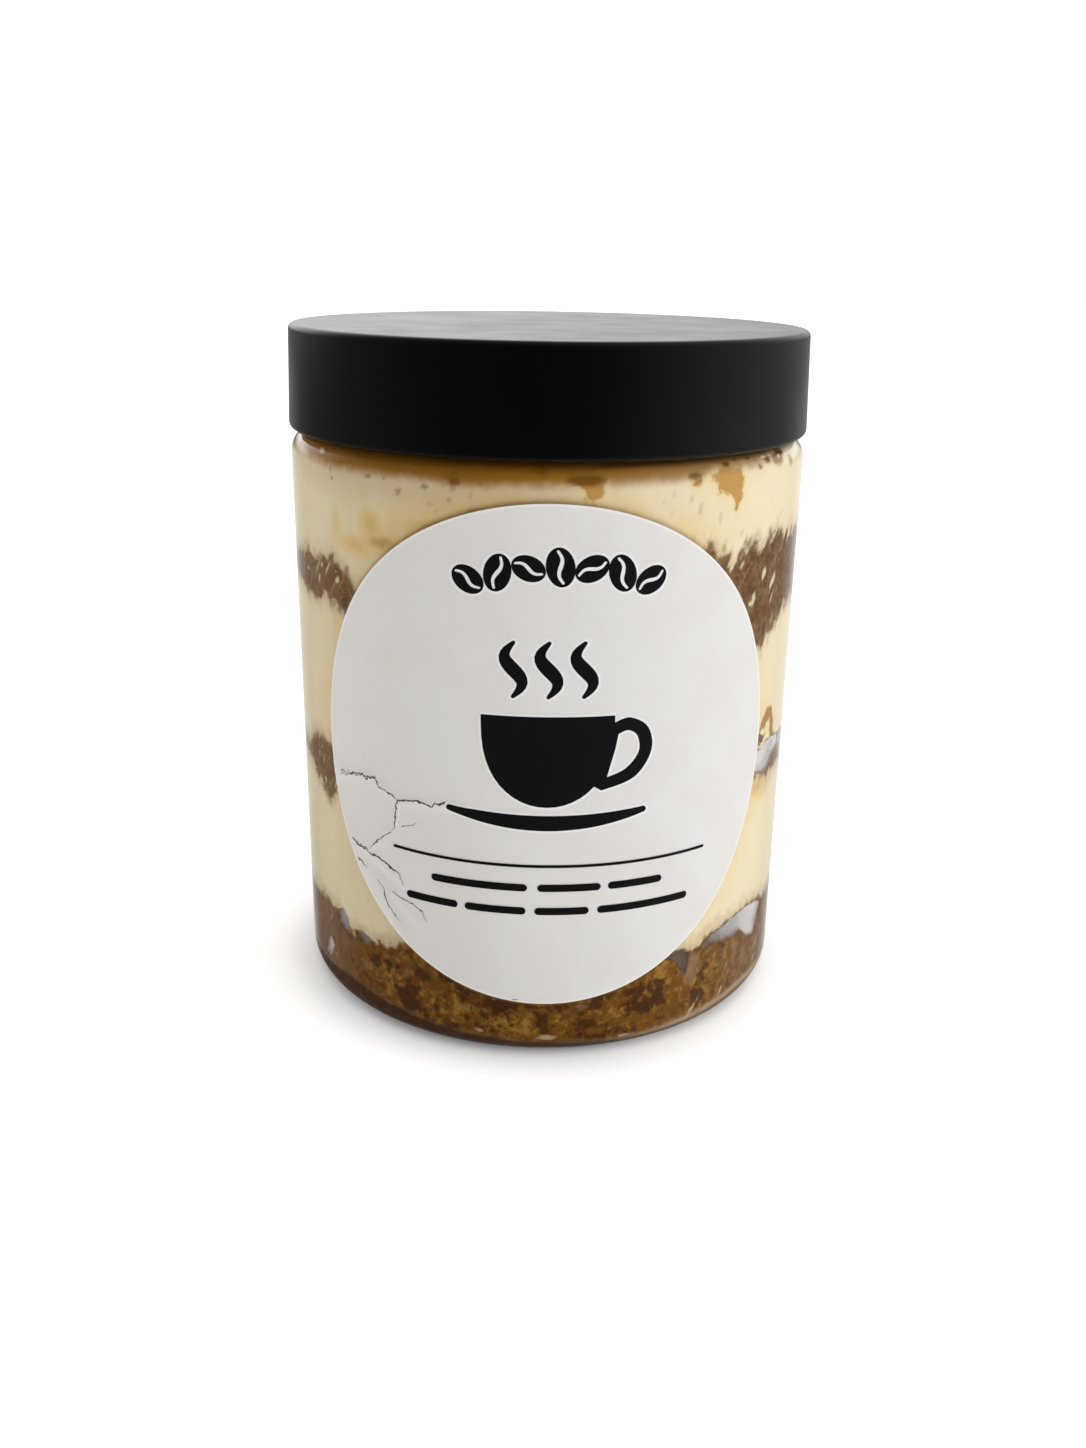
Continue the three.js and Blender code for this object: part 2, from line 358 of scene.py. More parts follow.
def carry(mesh, name, values):
    """Give a mesh a value at each of its points, which its material can read."""
    field = mesh.attributes.new(name, "FLOAT", "POINT")
    field.data.foreach_set("value", values)


def turned(name, profile, sides, thread):
    """A profile of radius and height turned about the jar's axis.

    The thread takes an angle, a row's number and a height, and gives how far that point moves
    out.
    """
    bm = bmesh.new()
    rows = []
    for index, (radius, z) in enumerate(profile):
        if radius == 0:
            rows.append([bm.verts.new((0, 0, z))] * sides)
            continue
        row = []
        for i in range(sides):
            angle = 360 * i / sides
            row.append(bm.verts.new(on_wall(angle, radius + thread(angle, index, z), z)))
        rows.append(row)
    for low, high in zip(rows, rows[1:]):
        for i in range(sides):
            j = (i + 1) % sides
            corners = []
            for corner in (low[i], low[j], high[j], high[i]):
                if corner not in corners:
                    corners.append(corner)
            bm.faces.new(corners)
    bmesh.ops.recalc_face_normals(bm, faces=bm.faces)
    mesh = finished(bm, name)
    smooth(mesh)
    return mesh


def thread_height(angle, z, start_z):
    """How far the screw thread stands out at a place on the neck."""
    height = 0
    first_turn = (angle - THREAD_START) % 360 / 360
    for turn in (first_turn, first_turn + 1):
        if turn > THREAD_TURNS:
            continue
        off = abs(z - start_z - turn * THREAD_PITCH)
        side = (THREAD_ROOT_HALF - off) / (THREAD_ROOT_HALF - THREAD_CREST_HALF)
        share = turn / THREAD_TURNS
        end = min(share, 1 - share) / THREAD_TAPER
        height = max(height, THREAD_HEIGHT * min(1, max(0, side)) * min(1, end))
    return height


# Materials

FIRST_NUMBER, FIRST_COLOUR = 2, 6  # where a mix node's number and colour sockets start


class Nodes:
    """A node tree and a short way to add nodes to it."""

    def __init__(self, tree):
        self.tree = tree
        tree.nodes.clear()

    def node(self, kind, **settings):
        made = self.tree.nodes.new(kind)
        for key, value in settings.items():
            setattr(made, key, value)
        return made

    def feed(self, socket, value):
        """Link a socket to an output, or set it to a value."""
        if isinstance(value, bpy.types.NodeSocket):
            self.tree.links.new(value, socket)
        elif socket.type == "RGBA":
            socket.default_value = (*value, 1)
        else:
            socket.default_value = value

    def reckon(self, operation, first, second):
        """One step of arithmetic."""
        made = self.node("ShaderNodeMath", operation=operation)
        self.feed(made.inputs[0], first)
        self.feed(made.inputs[1], second)
        return made.outputs[0]

    def plus(self, first, second):
        return self.reckon("ADD", first, second)

    def times(self, first, second):
        return self.reckon("MULTIPLY", first, second)

    def spread(self, value, low, high, to_low=0.0, to_high=1.0, kind="SMOOTHSTEP"):
        """Map a range of values to another range, smoothly unless it says otherwise."""
        made = self.node("ShaderNodeMapRange", interpolation_type=kind)
        for socket, number in zip(made.inputs, (value, low, high, to_low, to_high)):
            self.feed(socket, number)
        return made.outputs["Result"]

    def choose(self, share, first, second):
        """Mix two numbers."""
        made = self.node("ShaderNodeMix")
        self.feed(made.inputs["Factor"], share)
        self.feed(made.inputs[FIRST_NUMBER], first)
        self.feed(made.inputs[FIRST_NUMBER + 1], second)
        return made.outputs[0]

    def mix(self, share, first, second):
        """Mix two colours."""
        made = self.node("ShaderNodeMix", data_type="RGBA")
        self.feed(made.inputs["Factor"], share)
        self.feed(made.inputs[FIRST_COLOUR], first)
        self.feed(made.inputs[FIRST_COLOUR + 1], second)
        return made.outputs[2]


class Finish(Nodes):
    """A material with its shader, and patterns that it can use."""

    def __init__(self, name):
        self.material = bpy.data.materials.new(name)
        self.material.use_nodes = True
        super().__init__(self.material.node_tree)
        self.shader = self.node("ShaderNodeBsdfPrincipled")
        output = self.node("ShaderNodeOutputMaterial")
        self.feed(output.inputs["Surface"], self.shader.outputs["BSDF"])
        self.place = self.node("ShaderNodeTexCoord").outputs["Object"]

    def stretched(self, z):
        """The place on the object, stretched along the jar's axis."""
        made = self.node("ShaderNodeMapping")
        self.feed(made.inputs["Vector"], self.place)
        made.inputs["Scale"].default_value = (1, 1, z)
        return made.outputs["Vector"]

    def clouds(self, size, detail=3.0, rough=0.55, bend=0.0, at=None):
        """Noise whose bumps are about a size in mm."""
        made = self.node("ShaderNodeTexNoise")
        self.feed(made.inputs["Vector"], at or self.place)
        made.inputs["Scale"].default_value = 1 / (size * MM)
        made.inputs["Detail"].default_value = detail
        made.inputs["Roughness"].default_value = rough
        made.inputs["Distortion"].default_value = bend
        return made.outputs["Fac"]

    def dots(self, size, outer, inner, rare, at=None):
        """Soft dots about a size in mm apart, in those cells whose random number is high."""
        made = self.node("ShaderNodeTexVoronoi")
        self.feed(made.inputs["Vector"], at or self.place)
        made.inputs["Scale"].default_value = 1 / (size * MM)
        dot = self.spread(made.outputs["Distance"], outer, inner)
        return self.times(dot, self.spread(made.outputs["Color"], *rare))

    def field(self, name):
        """A value that the mesh carries at its points."""
        return self.node("ShaderNodeAttribute", attribute_name=name).outputs["Fac"]

    def bump(self, height, distance, strength):
        made = self.node("ShaderNodeBump")
        made.inputs["Strength"].default_value = strength
        made.inputs["Distance"].default_value = distance
        self.feed(made.inputs["Height"], height)
        self.feed(self.shader.inputs["Normal"], made.outputs["Normal"])

    def set(self, **values):
        """Set the shader's sockets, with _ for each space of a socket's name."""
        for key, value in values.items():
            self.feed(self.shader.inputs[key.replace("_", " ")], value)


def tinted(colour, red, green, blue):
    """A colour with each of its parts made stronger or weaker."""
    return colour[0] * red, colour[1] * green, colour[2] * blue


def shaded(colour, by):
    """A colour made lighter or darker."""
    return tinted(colour, by, by, by)


def clear_plastic(settings):
    """Clear, colourless jar plastic."""
    finish = Finish("clear jar plastic")
    finish.set(
        Base_Color=(1, 1, 1),
        Transmission_Weight=1.0,
        Roughness=0.0,
        IOR=settings.refraction,
        Coat_Weight=settings.gloss,
        Coat_Roughness=0.02,
        Coat_IOR=1.45,
    )
    return finish.material


def satin_plastic(settings):
    """Satin black lid plastic, with a very fine grain and slightly uneven gloss."""
    finish = Finish("satin black plastic")
    haze = finish.clouds(14, detail=2)
    fine = finish.clouds(0.25, detail=2)
    roughness = finish.spread(haze, 0.3, 0.7, settings.roughness - 0.03, settings.roughness + 0.03)
    finish.set(
        Base_Color=settings.colour,
        Roughness=roughness,
        Specular_IOR_Level=settings.gloss,
    )
    finish.bump(fine, 0.004 * MM, 0.5)
    return finish.material


def label_paper(settings):
    """Coated white paper, a little mottled, with a soft sheen and a paler cut edge, painted brighter as
    a highlight where it catches the light.
    """
    finish = Finish("coated label paper")
    mottle = finish.clouds(9, detail=3)
    fibre = finish.clouds(0.35, detail=3, at=finish.stretched(0.6))
    warm = tinted(settings.paper, 0.985, 0.96, 0.94)
    tone = finish.mix(finish.spread(mottle, 0.35, 0.7), settings.paper, warm)
    # Painted highlight: the label's rim is paler where its cut edge catches the light.
    tone = finish.mix(finish.spread(finish.field("edge"), 0.5, 0.2), tone, settings.keyline)
    finish.set(Base_Color=tone, Roughness=0.5, Specular_IOR_Level=0.3)
    finish.bump(fibre, 0.01 * MM, 0.6)
    return finish.material


def plain_print(name, colour, roughness):
    """Printed colour on the label, very slightly uneven."""
    finish = Finish(name)
    patch = finish.clouds(3, detail=2)
    finish.set(
        Base_Color=colour,
        Roughness=finish.spread(patch, 0.3, 0.7, roughness - 0.05, roughness + 0.05),
        Specular_IOR_Level=0.25,
    )
    return finish.material


def cream_colour(finish, settings):
    """Mascarpone cream, warmer and then caramel as more coffee has run into it and, beside the label, as
    painted shade, with specks.
    """
    cloud = finish.clouds(13, detail=3, bend=0.4)
    streak = finish.clouds(3, detail=2, at=finish.stretched(0.3))
    ragged = finish.clouds(2.2, detail=4, bend=0.3)
    stain_and_label_shade = finish.plus(finish.field("stain_and_label_shade"), finish.spread(cloud, 0.35, 0.7, -0.04, 0.1))
    stain_and_label_shade = finish.plus(stain_and_label_shade, finish.spread(ragged, 0.3, 0.7, -0.06, 0.06))
    body = finish.mix(finish.spread(stain_and_label_shade, 0.0, 0.5), settings.cream, settings.cream_warm)
    pale = shaded(settings.cream, 1.05)
    body = finish.mix(finish.spread(streak, 0.56, 0.76, 0, 0.5), body, pale)
    body = finish.mix(finish.spread(stain_and_label_shade, 0.45, 1.1), body, settings.caramel)
    specks = finish.times(finish.dots(3.4, 0.16, 0.05, (0.8, 0.84)), finish.field("dots"))
    return finish.mix(specks, body, settings.caramel)


def base_crumb(finish, settings):
    """The base sponge: brown, with golden clouds, dark wet patches and pores."""
    crumb = finish.clouds(1.4, detail=5, rough=0.65, bend=0.3)
    wet = finish.clouds(5, detail=4, rough=0.6, bend=0.5)
    gold = finish.plus(finish.field("gold"), finish.spread(crumb, 0.3, 0.7, -0.55, 0.45))
    body = finish.mix(finish.spread(gold, 0.0, 0.75), settings.crumb, settings.crumb_gold)
    # The wet field also holds the painted shade beside the label.
    dark = finish.plus(finish.field("wet"), finish.spread(wet, 0.42, 0.68, -0.1, 0.5))
    dark = finish.plus(dark, finish.spread(crumb, 0.32, 0.68, 0.25, -0.25))
    body = finish.mix(finish.spread(dark, 0.2, 0.75, 0, 0.95), body, settings.crumb_dark)
    pores = finish.dots(1.3, 0.4, 0.14, (0.5, 0.55))
    return finish.mix(finish.times(pores, 0.75), body, settings.crumb_dark)


def upper_crumb(finish, settings, leaning):
    """The upper sponges: brown with a film of cream in leaning streaks and flecks."""
    crumb = finish.clouds(1.6, detail=5, rough=0.65, bend=0.4)
    streak = finish.clouds(1.1, detail=4, rough=0.6, at=leaning)
    body = finish.mix(finish.spread(crumb, 0.4, 0.66, 0, 0.8), settings.crumb_upper,
                      settings.crumb_milky)
    body = finish.mix(finish.spread(streak, 0.5, 0.68, 0, 0.75), body, settings.crumb_milky)
    body = finish.mix(finish.spread(streak, 0.6, 0.78, 0, 0.8), body, settings.cream_brown)
    flecks = finish.dots(1.5, 0.34, 0.14, (0.8, 0.84), at=leaning)
    return finish.mix(finish.times(flecks, 0.7), body, settings.cream)


def cocoa_colour(finish, settings):
    """Damp cocoa with a few darker blotches."""
    cloud = finish.clouds(4, detail=3, at=finish.stretched(2.5))
    dark = shaded(settings.cocoa, 0.62)
    return finish.mix(finish.spread(cloud, 0.58, 0.72, 0, 0.6), settings.cocoa, dark)


def dessert(name, settings):
    """The dessert behind the wall, mixed from cream, sponge and cocoa by the mesh's fields."""
    finish = Finish(name)
    leaning = finish.node("ShaderNodeAttribute", attribute_name="leaning").outputs["Vector"]
    ragged = finish.clouds(1.6, detail=5, rough=0.6, bend=0.3)
    rain = finish.clouds(2, detail=3, at=leaning)

    def roughened(field, wobble):
        """A field with a ragged edge."""
        return finish.plus(finish.field(field), finish.spread(ragged, 0.3, 0.7, -wobble, wobble))

    def edge(field, wobble, low, high, most=1.0):
        """How far a place is within a field's ragged edge."""
        return finish.spread(roughened(field, wobble), low, high, 0, most)

    def cover(share, under, over):
        """One colour laid over another, by a field's name or by a share."""
        return finish.mix(finish.field(share) if isinstance(share, str) else share, under, over)

    feather = finish.times(finish.spread(rain, 0.3, 0.7, -1.2, 1.2), finish.field("streaks"))
    crumb_depth = finish.plus(roughened("crumb_depth", 0.75), feather)
    soft = finish.times(finish.field("upper"), 0.7)
    crumb = finish.spread(crumb_depth, finish.reckon("SUBTRACT", -0.5, soft), 0.5)
    # Painted light over air pockets: how far a pocket's painted reflection or shade covers the dessert.
    pocket_sheen_cover = finish.spread(finish.field("pocket_shade"), 0, 0.5, 0.55, 0.94)
    pocket_sheen_cover = finish.times(edge("pocket", 0.12, -0.15, 0.15), pocket_sheen_cover)
    pocket_rim = finish.times(edge("pocket", 0.1, -0.45, 0), edge("pocket", 0.1, 0.6, 0.1))

    run = cover("dots", settings.crumb_gold, settings.caramel)
    upper = upper_crumb(finish, settings, leaning)
    sponge = cover("upper", base_crumb(finish, settings), upper)
    sponge = cover("film", sponge, settings.crumb_milky)
    sponge = cover("soaked", sponge, settings.crumb_dark)
    cocoa = cover("milky", cocoa_colour(finish, settings), settings.cream_brown)
    film = cover("dry", settings.cream_brown, settings.cream)
    # Pale painted reflection or dark painted shade for an air pocket.
    misted = cover("pocket_shade", settings.pocket_dark, settings.pocket)
    coats = (
        (finish.spread(crumb_depth, -3.6, 0.2, 0, 0.7), settings.cream_brown),
        ("smoky", settings.cream_brown),
        (edge("drip", 0.3, -1.3, 0, 0.35), settings.cream_warm),
        (edge("drip", 0.45, -0.35, 0.35, 0.9), run),
        (crumb, sponge),
        (edge("cocoa_depth", 0.15, -1.2, 0.9), cocoa),
        (edge("blot", 0.55, -0.4, 0.45, 0.88), settings.crumb_dark),
        ("speck", settings.crumb),
        # Pale cream flecks, and a few painted glints of light under the lid.
        (edge("pale", 0.12, -0.12, 0.18, 0.76), film),
        # Painted sheen of light along the heel's plastic.
        ("heel_sheen", settings.cream_brown),
        # Painted shade that the label casts on the cream beside it.
        ("label_shade_rim", settings.caramel),
        (pocket_sheen_cover, misted),
        (finish.times(pocket_rim, 0.5), settings.crumb_upper),
    )
    colour = cream_colour(finish, settings)
    for share, over in coats:
        colour = cover(share, colour, over)
    finish.set(
        Base_Color=colour,
        Roughness=finish.spread(crumb, 0, 1, 0.4, 0.62),
        Specular_IOR_Level=0.08,
    )
    fine = finish.clouds(0.7, detail=3)
    finish.bump(finish.times(fine, finish.spread(crumb, 0, 1, 0.1, 1)), 0.15 * MM, 0.7)
    return finish.material


def floor_finish(settings):
    """Matt pale studio floor that gives off light away from the jar, so that where the glow fades out
    round the jar it paints a soft contact shadow.
    """
    finish = Finish("studio floor")
    cloud = finish.clouds(400, detail=1)
    away = finish.node("ShaderNodeVectorMath", operation="LENGTH")
    finish.feed(away.inputs[0], finish.place)
    # Painted contact shadow: the glow fades to nothing near the jar's foot.
    near = finish.spread(away.outputs["Value"], BODY_R - 5 * MM, BODY_R + 1 * MM, 0, 0.62)
    far = finish.spread(away.outputs["Value"], BODY_R - 2 * MM, BODY_R + 9 * MM, 0, 0.38)
    finish.set(
        Base_Color=finish.mix(cloud, settings.floor, shaded(settings.floor, 0.99)),
        Roughness=0.9,
        Specular_IOR_Level=0.0,
        Emission_Color=tinted(settings.floor, 0.98, 1, 1.03),
        Emission_Strength=finish.times(finish.plus(near, far), settings.floor_glow),
    )
    return finish.material


# What shows through the wall, in degrees and millimetres

LABEL_R = (LABEL_HIGH[2] - LABEL_LOW[2]) / 2 / MM
LABEL_Z = (LABEL_HIGH[2] + LABEL_LOW[2]) / 2 / MM

MM_PER_DEGREE = math.radians(BODY_R / MM)  # along the wall

SEAM_MEANS = {
    "floor": BASE_PANEL_Z / MM + 0.3,
    "base_sponge": 16.6,
    "lower_cream": 41,
    "middle_sponge": 46,
    "middle_cream": 70.5,
    "top_sponge": 79.4,
    "top_cream": 93,
    "fill": 97.4,
}
SEAM_BLEND = 14  # degrees over which a seam leaves the line that is seen


def along(angle, points):
    """The height of a smooth line through some points (angle, height)."""
    previous = points[0]
    for point in points[1:]:
        if angle < point[0]:
            share = ease(previous[0], point[0], angle)
            return previous[1] + (point[1] - previous[1]) * share
        previous = point
    return previous[1]


def seam(name, points, ripple=0.5, rough=0.3, humps=()):
    """The height at which one layer gives way to the next, as a function of the angle.

    On the side that shows, it follows the points. Elsewhere it is the mean, with ripples, small
    unevenness, and humps and dips: (angle, half width, rise).
    """
    mean = SEAM_MEANS[name]
    first, last = points[0][0], points[-1][0]

    def height(angle):
        signed = turn_between(angle, 0)
        a = math.radians(signed)
        level = mean + ripple * (math.sin(5 * a + mean) + 0.6 * math.sin(9 * a + 2 * mean))
        for at, width, amount in humps:
            level += amount * math.exp(-((turn_between(angle, at) / width) ** 2))
        seen = ease(first - SEAM_BLEND, first, signed) * ease(last + SEAM_BLEND, last, signed)
        level += (along(signed, points) - level) * seen
        level += rough * grain(angle, mean, 3, mean)
        return level + 0.5 * rough * grain(angle, mean, 1, 2 * mean)
    return height


SEAMS = {
    "floor": lambda angle: SEAM_MEANS["floor"],
    "base_sponge": seam(
        "base_sponge",
        ((-72.4, 16), (-67, 16.8), (-60.6, 17.1), (-54.8, 17.2), (-53.4, 16.6), (-51.7, 14.9),
         (-48.7, 14.6), (-45.5, 15.1), (-41, 14.9), (-37, 15.3), (-30.4, 17.1), (0, 17),
         (24, 16), (27.6, 15.7), (33.4, 15.7), (36, 15.4), (38.3, 15.9), (40.9, 17.1),
         (48.7, 17.6), (57, 18.2), (62.3, 17.4), (68.2, 16.7), (72, 17)),
        humps=((180, 30, 2),),
    ),
    "lower_cream": seam(
        "lower_cream",
        ((-72, 42), (-68.3, 41.8), (-65.1, 40.6), (-61.1, 39.4), (-59.4, 38.3), (-56, 37.6),
         (-54.5, 38.5), (-51.5, 41), (0, 41.5), (50, 41.4), (53.9, 41.5), (57, 41.1),
         (61, 40.8), (62.5, 40.4), (66.8, 40.6), (69.1, 41), (74, 40.8), (78, 40.4)),
        humps=((130, 20, -2),),
    ),
    "middle_sponge": seam(
        "middle_sponge",
        ((-72, 43.4), (-68.7, 43.8), (-66.4, 45.3), (-61.2, 46.9), (-58.2, 46.5), (-55.1, 47),
         (-52.6, 45.8), (-48, 45), (0, 46), (46, 44.6), (54, 43), (58, 42.4), (63, 42.8),
         (66, 43.9), (69, 44.2), (74.4, 43), (78, 42.4)),
        humps=((-150, 18, 2),),
    ),
    "middle_cream": seam(
        "middle_cream",
        ((-75, 72.6), (-69.1, 72.2), (-64.2, 71.2), (-57, 71.4), (-55.4, 72.6), (-52, 71.8),
         (-48, 71), (-45.5, 69.8), (-40, 69), (0, 70), (48, 67), (51, 65.6), (54.7, 65.2),
         (56.8, 67.1), (60.1, 68.5), (65.6, 69.5), (75.5, 70.6)),
        humps=((-120, 24, -2),),
    ),
    "top_sponge": seam(
        "top_sponge",
        ((-74.9, 76), (-67.8, 76.5), (-62.9, 77.5), (-60.5, 76.8), (-55.3, 77.6), (-51.5, 78.2),
         (-48.9, 77.5), (-46.9, 76.3), (-43.1, 74.7), (-41.4, 74.1), (-30, 76), (0, 79),
         (28, 81.5), (34, 81.9), (37, 80.8), (41.8, 79.7), (43.9, 80), (45.9, 81.3),
         (48.8, 81.7), (52.4, 80.5), (55.9, 81.7), (59.3, 82), (64, 81.3), (75.4, 81.2)),
        humps=((150, 22, -1.6),),
    ),
    "top_cream": seam(
        "top_cream",
        ((-66.8, 93.8), (-58, 92.9), (-50, 92.6), (-30, 92.7), (-17.8, 92.4), (0, 92.7),
         (18, 93.1), (29, 93.2), (37, 94), (47.5, 93.9), (52.5, 94.3), (57, 94.6), (62, 95.4),
         (70, 96)),
        ripple=0.15,
        rough=0.1,
    ),
    "fill": lambda angle: SEAM_MEANS["fill"],
}

# The dessert's layers from the bottom up: its name, the node it stands for, its slot, and the
# seams below and above it.
LAYERS = (
    ("soaked_base", "sponge_base", "sponge", "floor", "base_sponge"),
    ("lower_cream_fill", "cream_lower", "cream", "base_sponge", "lower_cream"),
    ("soaked_middle", "sponge_middle", "sponge", "lower_cream", "middle_sponge"),
    ("middle_cream_fill", "cream_middle", "cream", "middle_sponge", "middle_cream"),
    ("soaked_top", "sponge_top", "sponge", "middle_cream", "top_sponge"),
    ("top_cream_fill", "cream_top", "cream", "top_sponge", "top_cream"),
    ("cocoa_under_lid", "cocoa_top", "cocoa", "top_cream", "fill"),
)

# Outlines on the wall, of points (angle, height). A pocket has two numbers before its outline:
# its painted shade, 0 where it is painted dark as shade and 1 where it is painted pale as a
# reflection of the wall, and how much paler it gets with each degree to the right.
AIR_POCKETS = (
    (0.6, 0.02, ((-54.3, 16.9), (-52.2, 17.9), (-50.1, 16.4), (-49.9, 14.4), (-52.1, 14),
                 (-54, 15))),
    (0.42, 0.02, ((-46.1, 15.4), (-44.2, 15.6), (-41.3, 15.1), (-42.5, 14), (-44.3, 13.8),
                 (-45.5, 14.5))),
    (1.05, 0, ((-59.5, 10.1), (-58, 7.8), (-60, 4.9), (-62.4, 5.5), (-61.6, 7.8))),
    (0.02, 0.025, ((28.4, 15.5), (31, 16.3), (33.6, 16.2), (35.6, 15.3), (35.6, 13.6),
                   (35, 11.8), (34.2, 11.4), (33.6, 12.6), (32.4, 13.9), (30.4, 14.9))),
    (0.5, 0.028, ((66, 15.8), (62.3, 17.4), (57, 18.1), (52.2, 17.9), (48.7, 17.5),
                  (44.3, 17.2), (41.5, 16.4), (39.7, 15.3), (39.6, 14.4), (41.2, 14.7),
                  (44, 14.8), (46.5, 14.4), (48.5, 14.3), (52.1, 14), (54.4, 14.2), (58.4, 12.1),
                  (61.3, 11.3), (63.2, 12.4), (64.2, 14.2))),
    (0.72, -0.012, ((54.1, 47.3), (58.1, 46.4), (60.7, 47.5), (66, 47.2), (70.7, 46.6),
                    (73.1, 46.8), (78.4, 44.9), (75.7, 43.4), (70, 44.2), (67.7, 44),
                    (65.3, 42.9), (63.6, 42.1), (59.1, 42.1), (54.4, 42.8), (53, 45))),
)
DRIPS = (
    ((33.4, 93.5), (38.1, 94), (43, 94), (43.2, 92), (43.3, 89.6), (42.6, 88.5), (41.8, 87.6),
     (41.1, 89), (40, 90.1), (38, 90.7), (36.2, 90.8), (35.8, 91.4), (36.2, 92), (34.4, 92.8)),
    ((4.5, 93), (7.3, 92.4), (7.7, 90.8), (9.1, 89.9), (10.4, 91), (10.9, 92.6), (9, 93.4)),
    ((29.6, 92.6), (31.6, 92.7), (31.2, 91.7), (30.2, 91.6)),
    ((60.2, 53.8), (62.9, 53.2), (63.7, 51.7), (61.8, 50.8), (60, 50.3), (56.9, 49.6),
     (56.6, 50.5), (58.4, 52.2)),
    ((62.6, 52.7), (65.2, 49.8), (66.4, 46.5), (64.6, 46.5), (62.2, 48.7), (62.4, 50.4)),
    ((-125, 93.2), (-122.6, 91.8), (-121.8, 90.4), (-120.4, 89.4), (-119.2, 90.2), (-118.8, 91.6),
     (-117, 92.2), (-115, 93.4)),
    ((144, 93.4), (147.6, 92.4), (149.4, 91.2), (150.2, 89.2), (151.2, 88.6), (152.4, 89.4),
     (152.6, 91.4), (155, 92.2), (158, 93.4)),
)
BLOTS = (
    ((-42.4, 11.6), (-39.6, 12.4), (-38.2, 11.4), (-39.4, 10.2), (-41.8, 10.4)),
    ((-24, 7.4), (-22.4, 7.6), (-22, 6.6), (-23.6, 6.2)),
    ((9.6, 7.6), (12.4, 8), (13, 6.8), (10.6, 6.2)),
    ((-18.4, 11.6), (-15.4, 11.2), (-14.8, 10.2), (-17.6, 10.4)),
    ((56.4, 50), (59.7, 48.8), (59.5, 47.7), (57.1, 47.6), (53.8, 47.2), (54.2, 48.9)),
    ((-34.6, 7.9), (-31, 8.3), (-27.4, 7.2), (-27.2, 5.2), (-29.4, 4.3), (-32.6, 4.9)),
    ((-28.8, 13.6), (-25.2, 13), (-24.4, 11.6), (-27, 10.8), (-29.2, 11.8)),
    ((-37.6, 12.4), (-35.6, 12.9), (-34, 12.2), (-35.4, 11.3)),
    ((-12.2, 9.8), (-7.6, 9.7), (-6.8, 8.6), (-10, 8.3)),
    ((-1.2, 8.6), (2.4, 8.8), (2.8, 6.4), (1.4, 4.9), (0, 6.2)),
    ((18.6, 11.8), (21.4, 12), (22.4, 10.6), (20, 10.2)),
    ((25.8, 10.6), (28.8, 10.4), (29, 8.9), (27, 8.7)),
)
# Ellipses on the wall: (angle, height, half width in mm, half height, strength)
SPECKS = (
    (30.4, 93.3, 1.2, 0.45, 0.85),
    (31.3, 92.3, 0.6, 0.5, 0.35),
    (-50.4, 92.1, 0.35, 0.4, 0.5),
    (-38.2, 92.2, 0.55, 0.4, 0.7),
    (-33.8, 92, 0.3, 0.3, 0.5),
    (-30.5, 90.5, 0.45, 0.5, 0.55),
    (-24.3, 91.6, 0.45, 0.45, 0.7),
    (-18, 92.6, 0.85, 0.6, 0.85),
    (-18.3, 91.8, 0.55, 0.5, 0.4),
    (-12.9, 92.5, 0.35, 0.25, 0.4),
    (-23.2, 89.2, 0.5, 0.4, 0.2),
    (-19.1, 89.9, 0.3, 0.3, 0.4),
    (-14.8, 90.8, 0.3, 0.25, 0.35),
    (-14.4, 88.8, 0.8, 0.35, 0.3),
    (-21.9, 88, 0.3, 0.25, 0.25),
    (-45.8, 77.3, 0.55, 0.6, 0.6),
    (25.5, 91.1, 0.35, 0.45, 0.2),
    (29.6, 90.1, 0.4, 0.6, 0.22),
    (31.9, 88.6, 0.4, 0.9, 0.24),
    (37.3, 86.8, 0.3, 0.9, 0.2),
    (25.1, 88.2, 0.3, 0.4, 0.14),
    (23.3, 89.9, 0.25, 0.4, 0.12),
    (43.9, 84, 0.35, 0.5, 0.25),
    (35, 82.8, 0.65, 0.9, 0.6),
    (38.8, 82.2, 0.5, 0.6, 0.4),
    (7.6, 93.3, 2.7, 0.75, 0.9),
    (39, 94.5, 0.8, 0.3, 0.95),
    (42.1, 94.9, 0.3, 0.25, 0.9),
    (46.4, 94.8, 0.6, 0.22, 0.9),
    (60, 94.7, 1.5, 0.5, 1),
    (57.5, 93.9, 1.8, 0.8, 0.75),
    (53, 94.2, 0.9, 0.4, 0.95),
    (49.4, 93.4, 0.5, 0.35, 0.8),
    (64, 93.2, 0.9, 0.7, 0.6),
    (59.4, 45.4, 0.3, 0.25, 0.7),
    (-21.9, 10.6, 0.55, 0.5, 0.95),
    (-23.7, 10.4, 0.4, 0.5, 0.9),
    (-19.9, 9.1, 0.6, 0.45, 0.95),
    (-14, 6.8, 0.9, 0.6, 0.95),
    (12.6, 5.8, 1.8, 0.6, 0.9),
    (22.1, 7, 0.9, 0.8, 0.95),
    (50.3, 11.3, 1, 1, 0.8),
)
# The same, for milky patches in the sponge
MILKY_PATCHES = (
    (36.4, 12.6, 1.7, 2.8, 0.8),
    (44.5, 12.6, 0.5, 0.8, 0.6),
    (51.5, 11.2, 1.3, 2, 0.7),
    (56.5, 9, 0.9, 2, 0.6),
    (-52, 12, 2.2, 2, 0.5),
    (-56.5, 10.5, 1.2, 3, 0.6),
    (-44, 9.4, 1.3, 1.1, 0.4),
    (-31, 11.5, 0.6, 1.1, 0.5),
    (9.5, 9.6, 0.9, 0.6, 0.4),
)
